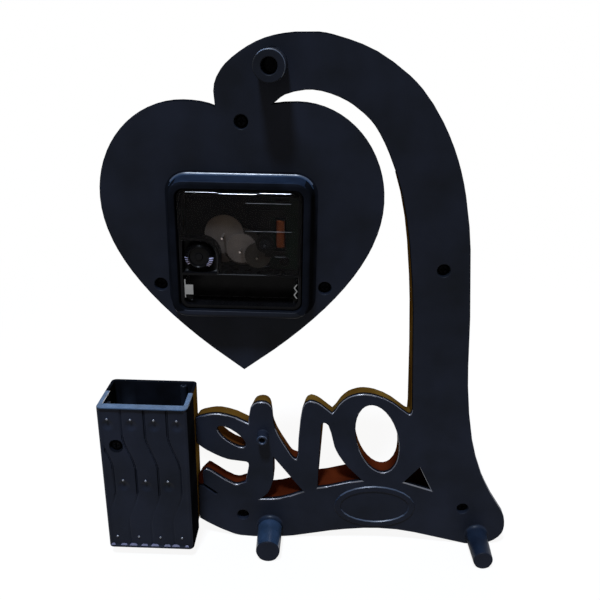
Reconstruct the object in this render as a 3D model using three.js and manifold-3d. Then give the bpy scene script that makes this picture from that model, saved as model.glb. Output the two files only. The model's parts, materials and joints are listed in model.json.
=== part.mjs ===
// Desk clock with a script-letter frame, a heart-shaped dial case and a pen box beside it.
// The pieces are drawn as seen from behind: x to the right, y up, z towards the rear, with
// z = 0 on the back face of the rear cover. One turned group then stands the clock upright
// with +Z up, its dial facing -Y and its origin under the middle of its box.

import * as THREE from 'three';
import { mergeVertices } from 'three/addons/utils/BufferGeometryUtils.js';
import Module from 'manifold-3d';

const wasm = await Module();
wasm.setup();

// Fits, in millimetres: the gap between pieces that touch, the room round a post in its hole,
// and how far a cutting solid runs past the face that it opens
const clearance = 0.3;
const fitGap = 0.4;
const past = 1;

// Frame
const coverThickness = 2;
const shellRear = -coverThickness - clearance;
const shellFront = -10.4;
const shellDraft = 1.2;
const faceThickness = 2.2;
const wallThickness = 2.4;
const shellFloor = shellFront + faceThickness;
const standoffLength = 18.9;
const frameRight = 140;

// The base and stem stand further forward than the letters, less and less towards the hook
const baseFront = -17.6;
const slopeFoot = 110;
const slopeHead = 205;

// Fineness of the sampled outlines
const outlineStep = 1;
const outlineTolerance = 0.13;
const cavityTolerance = 0.5;

// Sides of the round forms, by their size
const holeSides = 8;
const pinSides = 10;
const plainSides = 12;
const boreSides = 16;
const wellSides = 20;
const tubeSides = 24;
const pegSides = 32;
const postSides = 40;
const roundSides = 48;
const hexagon = 6;

// Pen box
const penBox = { left: -70.3, right: -25.7, top: 89.2, front: -11.3, rear: standoffLength };
const penWall = 2.5;
const penRearWall = 4.6;
const penCorner = 2.5;
const penSplit = 1.55;
const penRearBottom = 5.8;
const penFrontBottom = 10.8;
const penSide = penBox.right + clearance;

// Dial group, from the web that carries the movement out to the front of the bezel
const dialCentre = { x: 0, y: 166.3 };
const recessRadius = 42.5;
const web = { radius: 44, front: -8.8, rear: -7 };
const dialPlate = { front: -9.7, rear: web.front - clearance };
const hexNut = { radius: 6.9, front: -11.2, rear: dialPlate.front - clearance };
const handLayers = { hour: [-12.1, -11.7], minute: [-13.2, -12.8], second: [-14.3, -14] };
const lens = { radius: 39.8, front: -16.5, rear: -15.2 };
const bezel = {
  radius: 44.5, inner: 38.5, front: -16.8, lip: -14.9, seat: -10, flange: -10.7, edge: 2.3,
  shoulder: { inward: 0.9, behind: 1.4 }, face: { inward: 2.5 },
};
const washer = { radius: 9, front: -6.6, rear: -5.9 };

// Movement
const caseSize = 56;
const caseCorner = 4;
const caseWall = 1.4;
const caseFront = -5.6;
const caseRear = 8;
const caseFloor = caseFront + 1.5;
const lidFront = caseRear + clearance;
const lidRear = lidFront + 1.6;
const bayTop = -12.1;
const recess = { right: -10.5, top: 4.7, floor: 2.2, thickness: 1.2, corner: 7.5 };
const boss = { radius: 3.8, bore: 2.5, front: hexNut.front - 0.1 };

// Rim moulded round the movement
const rimOpening = 57;
const rimTip = { size: 63.5, corner: 7 };
const rimBase = { size: 67, corner: 9 };
const rimHeight = 10.5;
const cornerSteps = 4;

// Screws
const screwHead = { radius: 2.7, height: 1.9, chamfer: 0.7 };
const crossSlot = { reach: 1.6, half: 0.3, depth: 0.9 };
const shankRadius = 1.25;
const shankTaper = 0.8;
const shankHole = 1.6;
const wellRadius = 3.1;
const collarRadius = 3.9;
const wellFloor = -4.2;
const collarFront = -5.8;
const coverScrewLength = 4;
const heartScrews = {
  cover_screw_heart_top: [0.3, 222.7],
  cover_screw_heart_left: [-39, 146.5],
  cover_screw_heart_right: [39, 146.5],
};
const baseScrews = {
  cover_screw_stem: [94.4, 156.7],
  cover_screw_foot_right: [116.5, 22.8],
  cover_screw_foot_left: [-1.6, 14.2],
};
const coverScrews = { ...heartScrews, ...baseScrews };
const penScrew = { x: -62, y: 67.3, seat: 15, length: 8, holeBottom: 6 };
const sideScrews = { pen_box_side_screw_upper: 66.5, pen_box_side_screw_lower: 20 };
const sideScrew = { z: -5, length: 9, boss: 2.55, bossEnd: -18.2 };

// Posts moulded on the rear cover
const hangingPost = { x: 13.9, y: 246.8, radius: 6.65, bore: 3.4, boreFloor: 2 };
const pegs = [{ x: 13.2, root: 6.6, tip: 6.2 }, { x: 125.4, root: 5.6, tip: 5 }];
const pegWall = 2;
const pegFlare = { extra: 0.7, height: 1.8 };
const tubeBoss = { x: 9.4, y: 65, radius: 2.9, bore: 1.5, boreFloor: 0.5, length: 6 };
const ovalPad = { x: 69.3, y: 22.6, long: 21.4, short: 12.7, width: 2.9, height: 0.7, curve: 12 };

// Wheel train: tooth counts, centres beside the dial centre, and the layers they lie in
const teeth = {
  cannon: 12, motion: 36, motionPinion: 10, hour: 40, knobPinion: 20,
  minute: 60, thirdPinion: 8, third: 64, secondsPinion: 8,
  seconds: 36, intermediatePinion: 6, intermediate: 40, rotorPinion: 8,
};
const toothTip = 0.55;
const toothRoot = 0.95;
const pivotRadius = 0.42;
const pivotHole = 0.75;
const pivotSeat = 0.9;
const pivotReach = 0.6;
const pivotEnd = lidRear - 0.2;
const knobDistance = 19.5;
const knobAngle = Math.atan2(-3.5, -19.2);
const knobGrip = { teeth: 36, radius: 6.55, from: 3.9, to: 7.6, dish: 4.4, dishFloor: 6.4, stem: 1.5 };
const motionDistance = 9;
const thirdAt = new THREE.Vector2(-8, 6.2);
const intermediateAt = new THREE.Vector2(7.7, -2.8);
const rotorDistance = 7.2;
const rotorAngle = Math.PI / 3;
const tubes = {
  cannon: { outer: 1.25, bore: 0.8, front: -13.5, rear: 0.5 },
  hour: { outer: 2.2, bore: 1.55, front: -12.4 },
};
const secondsFront = -14.6;
const layers = {
  hour: [-3.7, -2.7],
  motion: [-2.2, -1.2],
  minute: [-0.7, 0.3],
  third: [0.8, 1.8],
  seconds: [2.4, 3.4],
  intermediate: [4, 5],
  magnet: [5.4, 7.7],
};

// Coil, circuit and battery contacts
const magnetRadius = 2.3;
const motionPost = { radius: 0.5, top: -1 };
const stator = {
  from: 6.2, to: 7, ring: 4.2, bore: 2.7, arm: 2.6, neck: 3.9, reach: 1.9, top: 18.9, low: -2.6,
};
const coil = {
  x: 18.3, z: 5.55, bottom: 0.7, top: 15.7,
  core: { half: 0.8, deep: 0.35, low: -2.4, high: 18.7 },
  tube: { half: 1.5, deep: 1.05 },
  flange: { half: 2.4, deep: 1.8, thickness: 1 },
  sleeve: { half: 2.35, deep: 1.75, corner: 1.2 },
};
const board = { left: 13.4, right: 26, bottom: -9.5, top: 24.2, from: 2.6, to: 3.4 };
const boardPosts = { x: 24, heights: [-7, 21], radius: 1.5 };
const crystal = { x: 19, y: 22.5, radius: 1, half: 3 };
const chipAt = { x: 20, y: -5.8 };
const chipProfile = [[0, 0], [2.4, 0], [2, 0.6], [1, 1], [0, 1.1]];
const plateContact = {
  thickness: 0.5, below: 4, above: 5, front: -3.5, rear: 7.2, tabHalf: 2.4, tabReach: 4,
};
const springContact = { pitch: 1.75, swing: 1.2, bends: 4, strip: 0.55, from: -2, to: 6.5 };

// Hands, told as a time: ten past ten and thirty-six seconds, with outlines from tail to tip
const hands = {
  hour: { angle: 305.3, bore: 2.5, outline: [[-1.3, -5], [1.3, -5], [1.9, 16], [0, 23], [-1.9, 16]] },
  minute: { angle: 63.6, bore: 1.55, outline: [[-1, -6], [1, -6], [1.5, 24], [0, 33], [-1.5, 24]] },
  second: {
    angle: 216, bore: 0.8,
    outline: [[-0.9, -11], [0.9, -11], [0.35, 0], [0.25, 34], [-0.25, 34], [-0.35, 0]],
  },
};
const handHub = 1.2;

const materials = {
  blackPlastic: finish(0x1b1f2a, 0.45, 0),
  brownPlastic: finish(0x4b3526, 0.5, 0),
  casePlastic: finish(0x202224, 0.5, 0),
  smokyLid: finish(0x4a4b4d, 0.2, 0),
  clearGlass: finish(0xdfe6ea, 0.05, 0),
  dialPaint: finish(0xf2eee2, 0.7, 0),
  handPaint: finish(0x15161a, 0.4, 0),
  redPaint: finish(0xb02a24, 0.4, 0),
  acetal: finish(0xcfcbc2, 0.45, 0),
  steel: finish(0xb9bcc0, 0.35, 1),
  darkScrew: finish(0x2a2b2e, 0.4, 1),
  brass: finish(0xb8964f, 0.35, 1),
  copper: finish(0xb0623c, 0.4, 1),
  rubber: finish(0x1a1a1a, 0.8, 0),
  board: finish(0x2f5a3c, 0.6, 0),
  magnet: finish(0x55575a, 0.45, 1),
};

const clock = new THREE.Group();
clock.rotation.setFromRotationMatrix(new THREE.Matrix4().makeBasis(
  new THREE.Vector3(-1, 0, 0), new THREE.Vector3(0, 0, 1), new THREE.Vector3(0, 1, 0)));
clock.position.set((penBox.left + frameRight) / 2, -(baseFront + standoffLength) / 2, 0);
const movement = new THREE.Group();
movement.position.set(dialCentre.x, dialCentre.y, 0);
clock.add(movement);

function finish(color, roughness, metalness) {
  return new THREE.MeshStandardMaterial({ color, roughness, metalness });
}

function place(group, name, solid, material, { x = 0, y = 0, z = 0 } = {}) {
  const mesh = new THREE.Mesh(geometryOf(solid), material);
  mesh.name = name;
  mesh.position.set(x, y, z);
  group.add(mesh);
  return mesh;
}

// Solids

function solidOf(geometry) {
  const bare = geometry.clone();
  bare.deleteAttribute('normal');
  bare.deleteAttribute('uv');
  const merged = mergeVertices(bare, 1e-5);
  const triVerts = Uint32Array.from(merged.index.array);
  const vertProperties = Float32Array.from(merged.attributes.position.array);
  if (signedVolume(vertProperties, triVerts) < 0) triVerts.reverse();
  return new wasm.Manifold(new wasm.Mesh({ numProp: 3, vertProperties, triVerts }));
}

function signedVolume(positions, triangles) {
  const corner = (k) => new THREE.Vector3().fromArray(positions, 3 * triangles[k]);
  let volume = 0;
  for (let k = 0; k < triangles.length; k += 3) {
    volume += corner(k).dot(corner(k + 1).cross(corner(k + 2)));
  }
  return volume;
}

function geometryOf(solid) {
  const { vertProperties, triVerts } = solid.getMesh();
  const geometry = new THREE.BufferGeometry();
  geometry.setAttribute('position', new THREE.BufferAttribute(vertProperties, 3));
  geometry.setIndex(new THREE.BufferAttribute(triVerts, 1));
  geometry.computeVertexNormals();
  return geometry;
}

function extruded(shape, from, to, curveSegments = 4) {
  const options = { depth: to - from, bevelEnabled: false, curveSegments };
  return new THREE.ExtrudeGeometry(shape, options).translate(0, 0, from);
}

function slab(shape, from, to, curveSegments) {
  return solidOf(extruded(shape, from, to, curveSegments));
}

function rod(x, y, radius, from, to, sides = plainSides) {
  const geometry = new THREE.CylinderGeometry(radius, radius, to - from, sides);
  geometry.rotateX(Math.PI / 2).rotateZ(Math.PI / sides);
  return solidOf(geometry.translate(x, y, (from + to) / 2));
}

function sideRod(from, to, y, z, radius, sides = plainSides) {
  const geometry = new THREE.CylinderGeometry(radius, radius, to - from, sides);
  return solidOf(geometry.rotateZ(Math.PI / 2).translate((from + to) / 2, y, z));
}

function box(x0, x1, y0, y1, z0, z1) {
  const geometry = new THREE.BoxGeometry(x1 - x0, y1 - y0, z1 - z0);
  return solidOf(geometry.translate((x0 + x1) / 2, (y0 + y1) / 2, (z0 + z1) / 2));
}

function turned(profile, sides) {
  const points = profile.map(([radius, z]) => new THREE.Vector2(radius, z));
  return solidOf(new THREE.LatheGeometry(points, sides).rotateX(Math.PI / 2));
}

function ring(inner, outer, from, to, sides) {
  return turned([[inner, from], [outer, from], [outer, to], [inner, to], [inner, from]], sides);
}

// Joins two outlines with the same number of points by straight walls
function loft(lower, lowerZ, upper, upperZ) {
  const count = lower.length;
  const atHeight = (loop, z) => loop.flatMap((point) => [point.x, point.y, z]);
  const positions = atHeight(lower, lowerZ).concat(atHeight(upper, upperZ));
  const index = [];
  for (const [a, b, c] of THREE.ShapeUtils.triangulateShape(lower, [])) {
    index.push(a, c, b, a + count, b + count, c + count);
  }
  for (let k = 0; k < count; k += 1) {
    const next = (k + 1) % count;
    index.push(k, next, next + count, k, next + count, k + count);
  }
  const geometry = new THREE.BufferGeometry();
  geometry.setAttribute('position', new THREE.Float32BufferAttribute(positions, 3));
  geometry.setIndex(index);
  return geometry;
}

// Outlines

function along(path, points) {
  path.splineThru(points.map(([x, y]) => new THREE.Vector2(x, y)));
}

function sample(path) {
  const points = [];
  for (const curve of path.curves) {
    const count = curve.isLineCurve ? 1 : Math.max(3, Math.ceil(curve.getLength() / outlineStep));
    points.push(...thinned(curve.getSpacedPoints(count), outlineTolerance).slice(0, -1));
  }
  return points;
}

// Keeps only the points that a chord would miss by more than the tolerance
function thinned(points, tolerance) {
  const start = points[0];
  const end = points.at(-1);
  const chord = end.clone().sub(start);
  const span = chord.length();
  const misses = points.map((point) => {
    const reach = point.clone().sub(start);
    return span > outlineTolerance ? Math.abs(chord.cross(reach)) / span : reach.length();
  });
  const worst = Math.max(...misses);
  if (points.length < 3 || worst < tolerance) return [start, end];
  const split = misses.indexOf(worst);
  const before = thinned(points.slice(0, split + 1), tolerance);
  return before.slice(0, -1).concat(thinned(points.slice(split), tolerance));
}

function roundedRectangle(width, height, corner) {
  const x = width / 2 - corner;
  const y = height / 2 - corner;
  const shape = new THREE.Shape();
  shape.absarc(x, y, corner, 0, Math.PI / 2);
  shape.absarc(-x, y, corner, Math.PI / 2, Math.PI);
  shape.absarc(-x, -y, corner, Math.PI, 1.5 * Math.PI);
  shape.absarc(x, -y, corner, 1.5 * Math.PI, 2 * Math.PI);
  return shape;
}

function frameOutline() {
  const path = new THREE.Path();
  path.moveTo(penSide, 11);
  along(path, [[-20, 7.5], [-12, 3.3], [-4, 0.6], [4, 0]]);
  path.lineTo(14, 0);
  along(path, [[20, 0.6], [30, 1.9], [50, 6], [70, 8], [90, 6.6], [110, 2.2], [120, 0]]);
  path.lineTo(127, 0);
  along(path, [
    [134.2, 2], [138.7, 6.4], [frameRight, 12.1], [138.6, 19.8], [134.9, 26.2], [130.1, 33.6],
    [122.9, 48.1], [116.6, 68.1], [111.8, 97.6], [108.7, 138.6], [104.1, 178.6], [95.4, 210.1],
    [80, 235.9], [60, 251.7], [40, 258.9], [27.5, 260], [15, 258.5], [5, 254.8], [-5, 247.9],
    [-10, 241.4], [-11.5, 235.6], [-11, 229.4],
  ]);
  heartOutline(path);
  along(path, [
    [20, 234.7], [30, 236.7], [40, 234.9], [50, 230], [60, 220.4], [69.6, 201.1], [76, 178.1],
    [80.4, 148], [82.6, 123.1], [84.3, 98.1], [85.2, 82.3],
  ]);
  path.quadraticCurveTo(85.3, 78.2, 82.8, 80);
  letterTops(path);
  path.lineTo(penSide, 58.6);
  along(path, [[-20, 54.4], [-10, 49.5], [0, 48.1]]);
  path.quadraticCurveTo(2.2, 47.8, 1.7, 45);
  along(path, [[1, 40.5], [0, 35.4]]);
  along(path, [[-5, 33.7], [-10, 35.8], [-15.4, 39.4], [-20.3, 42.8], [-22.5, 41.1], [penSide, 38]]);
  path.closePath();
  return path;
}

function heartOutline(path) {
  const widest = 64.8;
  path.quadraticCurveTo(-16, 231.6, -25, 231.6);
  path.bezierCurveTo(-46.8, 231.6, -widest, 212.5, -widest, 188);
  path.bezierCurveTo(-widest, 157, -34, 127, 0.2, 102.3);
  path.bezierCurveTo(34.2, 127, widest, 157, widest, 188);
  path.bezierCurveTo(widest, 212.5, 46.8, 231.7, 25, 231.7);
  path.quadraticCurveTo(19, 231.7, 14.7, 230.9);
}

function letterTops(path) {
  along(path, [[80, 82.1], [75, 85.9], [68, 89.2], [60, 90.4], [53, 88.3], [48.5, 84.2], [46.2, 80.4]]);
  path.lineTo(44.8, 78.6);
  along(path, [[40, 82.6], [36.3, 84.8], [33, 85.3], [30.2, 82.6], [28.7, 75], [27.8, 62.5], [27.6, 53.4]]);
  path.lineTo(26.9, 50.6);
  along(path, [[25, 51.6], [21.9, 56.4], [16.9, 65.6], [14.7, 73], [14.2, 79.6], [12.4, 83], [9.2, 84.2],
    [5.2, 83.2], [2.9, 79.8], [2.1, 74.8]]);
  path.lineTo(1.8, 71.3);
  along(path, [[-5, 74.6], [-14, 76.6], [-22, 75.2], [penSide, 73.6]]);
}

function letterHoles() {
  const letterO = new THREE.Path();
  letterO.absellipse(68.6, 64, 20.6, 10.65, 0, 2 * Math.PI, true, THREE.MathUtils.degToRad(105.1));
  const letterE = new THREE.Path();
  letterE.absellipse(-7, 63.1, 9, 3.5, 0, 2 * Math.PI, true, THREE.MathUtils.degToRad(-38.2));
  const gapEV = new THREE.Path();
  gapEV.moveTo(14.9, 51.2);
  gapEV.lineTo(30.7, 30.5);
  along(gapEV, [[25, 27.9], [20, 26.1], [15, 25.1], [8, 24.8]]);
  along(gapEV, [[12.4, 29.5], [15, 38.1]]);
  gapEV.lineTo(14.9, 51.2);
  const gapVO = new THREE.Path();
  gapVO.moveTo(39.4, 72);
  gapVO.quadraticCurveTo(41, 74, 43, 71.6);
  along(gapVO, [[44.5, 67.3], [47.2, 57.3], [53.2, 47.6], [61.9, 38.6]]);
  along(gapVO, [[55, 37.3], [45, 34.4], [38.4, 33.2]]);
  gapVO.lineTo(39.4, 72);
  return [letterO, letterE, gapEV, gapVO];
}

function legTriangle() {
  const triangle = new THREE.Path();
  triangle.moveTo(91.7, 47.8);
  triangle.lineTo(98.7, 33.9);
  triangle.lineTo(84, 38.4);
  triangle.lineTo(91.7, 47.8);
  return triangle;
}

// The forward base: inside the outer edge of the foot and stem, along the stem's inner edge,
// and along the line that the letters stand on, lower under the round one so that its opening stays clear
function baseOutline() {
  const outer = new THREE.Path();
  outer.moveTo(-18, 11);
  along(outer, [[-10, 6.2], [-3, 3.4], [4, 2.6]]);
  outer.lineTo(14, 2.6);
  along(outer, [[30, 4.6], [50, 8.8], [70, 10.7], [90, 9.3], [110, 4.9], [120, 2.6]]);
  outer.lineTo(127, 2.6);
  along(outer, [
    [132.7, 4.8], [136, 8.2], [137, 12.4], [135.7, 18.8], [132.2, 25], [127.5, 32.5], [120.3, 47],
    [114, 67.3], [109.2, 97.2], [106.1, 138.2], [101.6, 177.8], [93.5, slopeHead],
  ]);
  const stemInner = outerLoop.filter(({ x, y }) => x > 66 && x < 86 && y > 92 && y < slopeHead);
  const top = new THREE.Path();
  top.moveTo(85, 79);
  along(top, [[84.8, 68], [84.4, 56], [82.8, 47.5], [80, 42], [76.5, 38.9], [72, 38.2], [66, 38.9],
    [62, 40]]);
  along(top, [[55, 39], [45, 36.5], [30, 32], [20, 28.5], [8, 26.5], [-8, 22.5], [-16, 18], [-18, 11]]);
  return [...sample(outer), new THREE.Vector2(93.5, slopeHead), ...stemInner, ...sample(top)];
}

const outerLoop = sample(frameOutline());
const letterLoops = letterHoles().map((hole) => clockwise(sample(hole)));
const triangleLoop = clockwise(sample(legTriangle()));
const baseLoop = baseOutline();

function clockwise(loop) {
  return THREE.ShapeUtils.isClockWise(loop) ? loop : loop.reverse();
}

function distanceToLoop(point, loop) {
  const closest = new THREE.Vector3();
  const edge = new THREE.Line3();
  const at = new THREE.Vector3(point.x, point.y, 0);
  return Math.min(...loop.map((start, k) => {
    const end = loop[(k + 1) % loop.length];
    edge.start.set(start.x, start.y, 0);
    edge.end.set(end.x, end.y, 0);
    return edge.closestPointToPoint(at, true, closest).distanceTo(at);
  }));
}

// Moves each point of a loop into the material on its left
function moved(loop, distance) {
  const sharpest = 0.5;
  return loop.map((point, k) => {
    const before = point.clone().sub(loop.at(k - 1)).normalize();
    const after = loop[(k + 1) % loop.length].clone().sub(point).normalize();
    const inward = new THREE.Vector2(-before.y - after.y, before.x + after.x).normalize();
    const lean = Math.max(inward.dot(new THREE.Vector2(-before.y, before.x)), sharpest);
    return point.clone().addScaledVector(inward, distance / lean);
  });
}

// Which of those points keep their distance from the loop, so that they do not cross over
function keepsClear(loop, distance) {
  const nearly = 0.96 * distance;
  return moved(loop, distance).map((point) => distanceToLoop(point, loop) > nearly);
}

function inset(loop, distance) {
  const clear = keepsClear(loop, distance);
  return moved(loop, distance).filter((point, k) => clear[k]);
}

function wallShape(loop) {
  return new THREE.Shape(thinned(inset(loop, wallThickness), cavityTolerance));
}

// Casings

// The forward base with its leaning front, less the given thickness of face
function baseWedge(loop, thickness, rear) {
  const front = baseFront + thickness;
  const head = shellFront + thickness;
  const top = slopeHead + past;
  const side = new THREE.Shape();
  side.moveTo(-front, -past);
  side.lineTo(-front, slopeFoot);
  side.lineTo(-head, slopeHead);
  side.lineTo(-head, top);
  side.lineTo(-rear, top);
  side.lineTo(-rear, -past);
  const width = frameRight - penBox.left;
  const wedge = extruded(side, 0, width).rotateY(Math.PI / 2).translate(penBox.left, 0, 0);
  return slab(new THREE.Shape(loop), front, rear).intersect(solidOf(wedge));
}

function baseFrontAt(y) {
  const height = THREE.MathUtils.clamp(y, slopeFoot, slopeHead);
  return THREE.MathUtils.mapLinear(height, slopeFoot, slopeHead, baseFront, shellFront);
}

// The plate of the shell, narrower at its front than where it meets the cover
function draftedPlate() {
  const clear = keepsClear(outerLoop, shellDraft);
  const rearLoop = outerLoop.filter((point, k) => clear[k]);
  return solidOf(loft(inset(outerLoop, shellDraft), shellFront, rearLoop, shellRear));
}

function shellBlock() {
  let block = draftedPlate().add(baseWedge(baseLoop, 0, shellRear));
  for (const loop of letterLoops) {
    block = block.subtract(slab(new THREE.Shape(loop), baseFront - past, 0));
  }
  return block;
}

function shellCavity() {
  const top = shellRear + past;
  let cavity = slab(wallShape(outerLoop), shellFloor, top);
  cavity = cavity.add(baseWedge(inset(baseLoop, wallThickness), faceThickness, shellFloor + past));
  for (const loop of letterLoops) {
    cavity = cavity.subtract(slab(wallShape(loop), baseFront, top + past));
  }
  return cavity;
}

function frontShell() {
  const { x: dialX, y: dialY } = dialCentre;
  let shell = shellBlock().subtract(shellCavity());
  shell = shell.add(rod(dialX, dialY, web.radius, web.front, web.rear, roundSides));
  shell = shell.subtract(rod(dialX, dialY, recessRadius, shellFront - past, web.front, roundSides));
  const bossHole = boss.radius + fitGap;
  shell = shell.subtract(rod(dialX, dialY, bossHole, web.front - past, web.rear + past, tubeSides));
  for (const [x, y] of Object.values(heartScrews)) shell = screwBoss(shell, x, y, shellFloor);
  for (const [x, y] of Object.values(baseScrews)) {
    shell = screwBoss(shell, x, y, baseFrontAt(y) + faceThickness);
  }
  for (const y of Object.values(sideScrews)) {
    shell = shell.add(sideRod(penSide + past, sideScrew.bossEnd, y, sideScrew.z, sideScrew.boss));
    shell = shell.subtract(sideRod(penSide - past, sideScrew.bossEnd, y, sideScrew.z, shankHole));
  }
  return shell;
}

// A post that rises from the floor of the shell to meet the collar of the cover
function screwBoss(shell, x, y, floor) {
  const top = collarFront - clearance;
  return shell.add(rod(x, y, collarRadius, floor - fitGap, top))
    .subtract(rod(x, y, collarRadius + fitGap, top, 0))
    .subtract(rod(x, y, shankHole, shellFloor - clearance, 0, holeSides));
}

function rearCover() {
  const plate = new THREE.Shape(outerLoop);
  plate.holes = [...letterLoops, triangleLoop].map((loop) => new THREE.Path(loop));
  let cover = slab(plate, -coverThickness, 0).add(movementRim()).subtract(rimHole());
  const { x: postX, y: postY, radius: postRadius, bore, boreFloor } = hangingPost;
  cover = cover.add(rod(postX, postY, postRadius, -past, standoffLength, postSides));
  cover = cover.subtract(rod(postX, postY, bore, boreFloor, standoffLength + past, tubeSides));
  for (const peg of pegs) cover = cover.add(pegBody(peg));
  for (const peg of pegs) cover = cover.subtract(pegHollow(peg));
  const tube = tubeBoss;
  cover = cover.add(rod(tube.x, tube.y, tube.radius, -past, tube.length, tubeSides));
  cover = cover.subtract(rod(tube.x, tube.y, tube.bore, tube.boreFloor, tube.length + past, tubeSides));
  cover = cover.add(ovalRing());
  for (const [x, y] of Object.values(coverScrews)) {
    cover = cover.add(rod(x, y, collarRadius, collarFront, -past));
    cover = cover.subtract(rod(x, y, wellRadius, wellFloor, past, wellSides));
    cover = cover.subtract(rod(x, y, shankHole, collarFront - past, past, holeSides));
  }
  return cover.subtract(tailSlit());
}

// A round outline that rests on the desk with one of its flat sides
function pegLoop(x, radius) {
  const y = radius * Math.cos(Math.PI / pegSides);
  return Array.from({ length: pegSides }, (unused, k) => {
    const angle = (2 * k + 1) * Math.PI / pegSides;
    return new THREE.Vector2(x + radius * Math.cos(angle), y + radius * Math.sin(angle));
  });
}

// A peg that narrows from its flared root to its tip while its lowest line stays on the desk
function pegBody({ x, root, tip }) {
  const { extra, height } = pegFlare;
  const foot = pegLoop(x, root + extra);
  const neck = pegLoop(x, root);
  const flare = solidOf(loft(foot, 0, neck, height));
  const bar = solidOf(loft(neck, height, pegLoop(x, tip), standoffLength));
  return solidOf(loft(foot, -coverThickness, foot, 0)).add(flare).add(bar);
}

function pegHollow({ x, tip }) {
  return rod(x, tip, tip - pegWall, -coverThickness - past, standoffLength - pegWall, holeSides);
}

function atDial(geometry) {
  return solidOf(geometry.translate(dialCentre.x, dialCentre.y, 0));
}

function movementRim() {
  const lower = roundedRectangle(rimBase.size, rimBase.size, rimBase.corner).getPoints(cornerSteps);
  const upper = roundedRectangle(rimTip.size, rimTip.size, rimTip.corner).getPoints(cornerSteps);
  return atDial(loft(lower, -past, upper, rimHeight));
}

function rimHole() {
  const square = roundedRectangle(rimOpening, rimOpening, caseCorner);
  return atDial(extruded(square, -coverThickness - past, rimHeight + past));
}

function ovalRing() {
  const { x, y, long, short, width, height, curve } = ovalPad;
  const shape = new THREE.Shape();
  shape.absellipse(x, y, long, short, 0, 2 * Math.PI);
  const inner = new THREE.Path();
  inner.absellipse(x, y, long - width, short - width, 0, 2 * Math.PI);
  shape.holes.push(inner);
  return slab(shape, -past, height, curve);
}

// Narrow slit that parts the tail of the first letter from the base, open towards the pen box
function tailSlit() {
  const shape = new THREE.Shape();
  shape.moveTo(penSide - past, 41);
  shape.lineTo(penSide - past, 32);
  shape.lineTo(-22.6, 32);
  shape.lineTo(-16.2, 27);
  shape.lineTo(-15.4, 27.9);
  shape.lineTo(-22.6, 33.4);
  shape.lineTo(-22.9, 41);
  return slab(shape, -coverThickness - past, past);
}

// An open-topped tub with rounded upright corners, hollow between two depths
function penTub(front, rear, bottom, hollowFront, hollowRear) {
  const middle = (penBox.left + penBox.right) / 2;
  const outline = roundedRectangle(penBox.right - penBox.left, rear - front, penCorner);
  const upright = extruded(outline, bottom, penBox.top).rotateX(-Math.PI / 2);
  const tub = solidOf(upright.translate(middle, 0, (front + rear) / 2));
  const [left, right] = [penBox.left + penWall, penBox.right - penWall];
  return tub.subtract(box(left, right, bottom + penWall, penBox.top + past, hollowFront, hollowRear));
}

// Everything of the pen box between two depths
function penSlice(from, to) {
  return box(penBox.left - past, penBox.right + past, 0, penBox.top + past, from, to);
}

function penBoxFront() {
  const { x, y, seat, holeBottom } = penScrew;
  const split = penSplit - clearance / 2;
  const rear = split + 2 * penCorner;
  const tub = penTub(penBox.front, rear, penFrontBottom, penBox.front + penWall, rear + past);
  let half = tub.subtract(penSlice(split, rear + past));
  half = half.add(rod(x, y, collarRadius, penBox.front + past, seat - penWall + fitGap));
  half = half.subtract(rod(x, y, shankHole, holeBottom, seat));
  for (const height of Object.values(sideScrews)) {
    half = half.subtract(sideRod(penBox.right - penWall - past, penSide, height, sideScrew.z, shankHole));
  }
  return half;
}

function penBoxRear() {
  const { x, y, seat } = penScrew;
  const split = penSplit + clearance / 2;
  const front = split - 2 * penCorner;
  const tub = penTub(front, penBox.rear, penRearBottom, front - past, penBox.rear - penRearWall);
  const collarStart = seat - penWall + fitGap + clearance;
  let half = tub.subtract(penSlice(front - past, split));
  half = half.add(rod(x, y, collarRadius, collarStart, penBox.rear - past));
  half = half.subtract(rod(x, y, wellRadius, seat, penBox.rear + past, wellSides));
  return half.subtract(rod(x, y, shankHole, collarStart - past, seat + past));
}

// A pan-head screw along z that rests just over z = 0, with its cross recess to the rear
function screw(length) {
  const { radius, height, chamfer } = screwHead;
  const { reach, half, depth } = crossSlot;
  const tip = clearance - length;
  const top = clearance + height;
  const body = turned([
    [0, tip], [shankRadius - shankTaper / 2, tip], [shankRadius, tip + shankTaper], [shankRadius, clearance],
    [radius, clearance], [radius, top - chamfer], [radius - chamfer, top], [0, top],
  ], holeSides);
  const across = box(-reach, reach, -half, half, top - depth, top + past);
  const upright = box(-half, half, -reach, reach, top - depth, top + past);
  return body.subtract(across.add(upright));
}

function addScrews() {
  for (const [name, [x, y]] of Object.entries(coverScrews)) {
    place(clock, name, screw(coverScrewLength), materials.darkScrew, { x, y, z: wellFloor });
  }
  const rearAt = { x: penScrew.x, y: penScrew.y, z: penScrew.seat };
  place(clock, 'pen_box_rear_screw', screw(penScrew.length), materials.darkScrew, rearAt);
  for (const [name, y] of Object.entries(sideScrews)) {
    const inner = { x: penBox.right - penWall, y, z: sideScrew.z };
    place(clock, name, screw(sideScrew.length), materials.darkScrew, inner).rotation.y = -Math.PI / 2;
  }
}

// Dial side

function bezelRing() {
  const { radius, inner, front, lip, seat, flange, edge, shoulder, face } = bezel;
  const skirt = recessRadius - clearance;
  const glass = lens.radius + clearance;
  return turned([
    [inner, seat], [skirt, seat], [skirt, flange], [radius, flange], [radius, flange - edge],
    [radius - shoulder.inward, front + shoulder.behind], [radius - face.inward, front], [glass, front],
    [glass, lip], [inner, lip], [inner, seat],
  ], postSides);
}

function hand({ bore, outline }, [from, to]) {
  const shape = new THREE.Shape(outline.map(([x, y]) => new THREE.Vector2(x, y)));
  const blank = slab(shape, from, to).add(rod(0, 0, bore + handHub, from, to, wellSides));
  return blank.subtract(rod(0, 0, bore, from - past, to + past));
}

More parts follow.
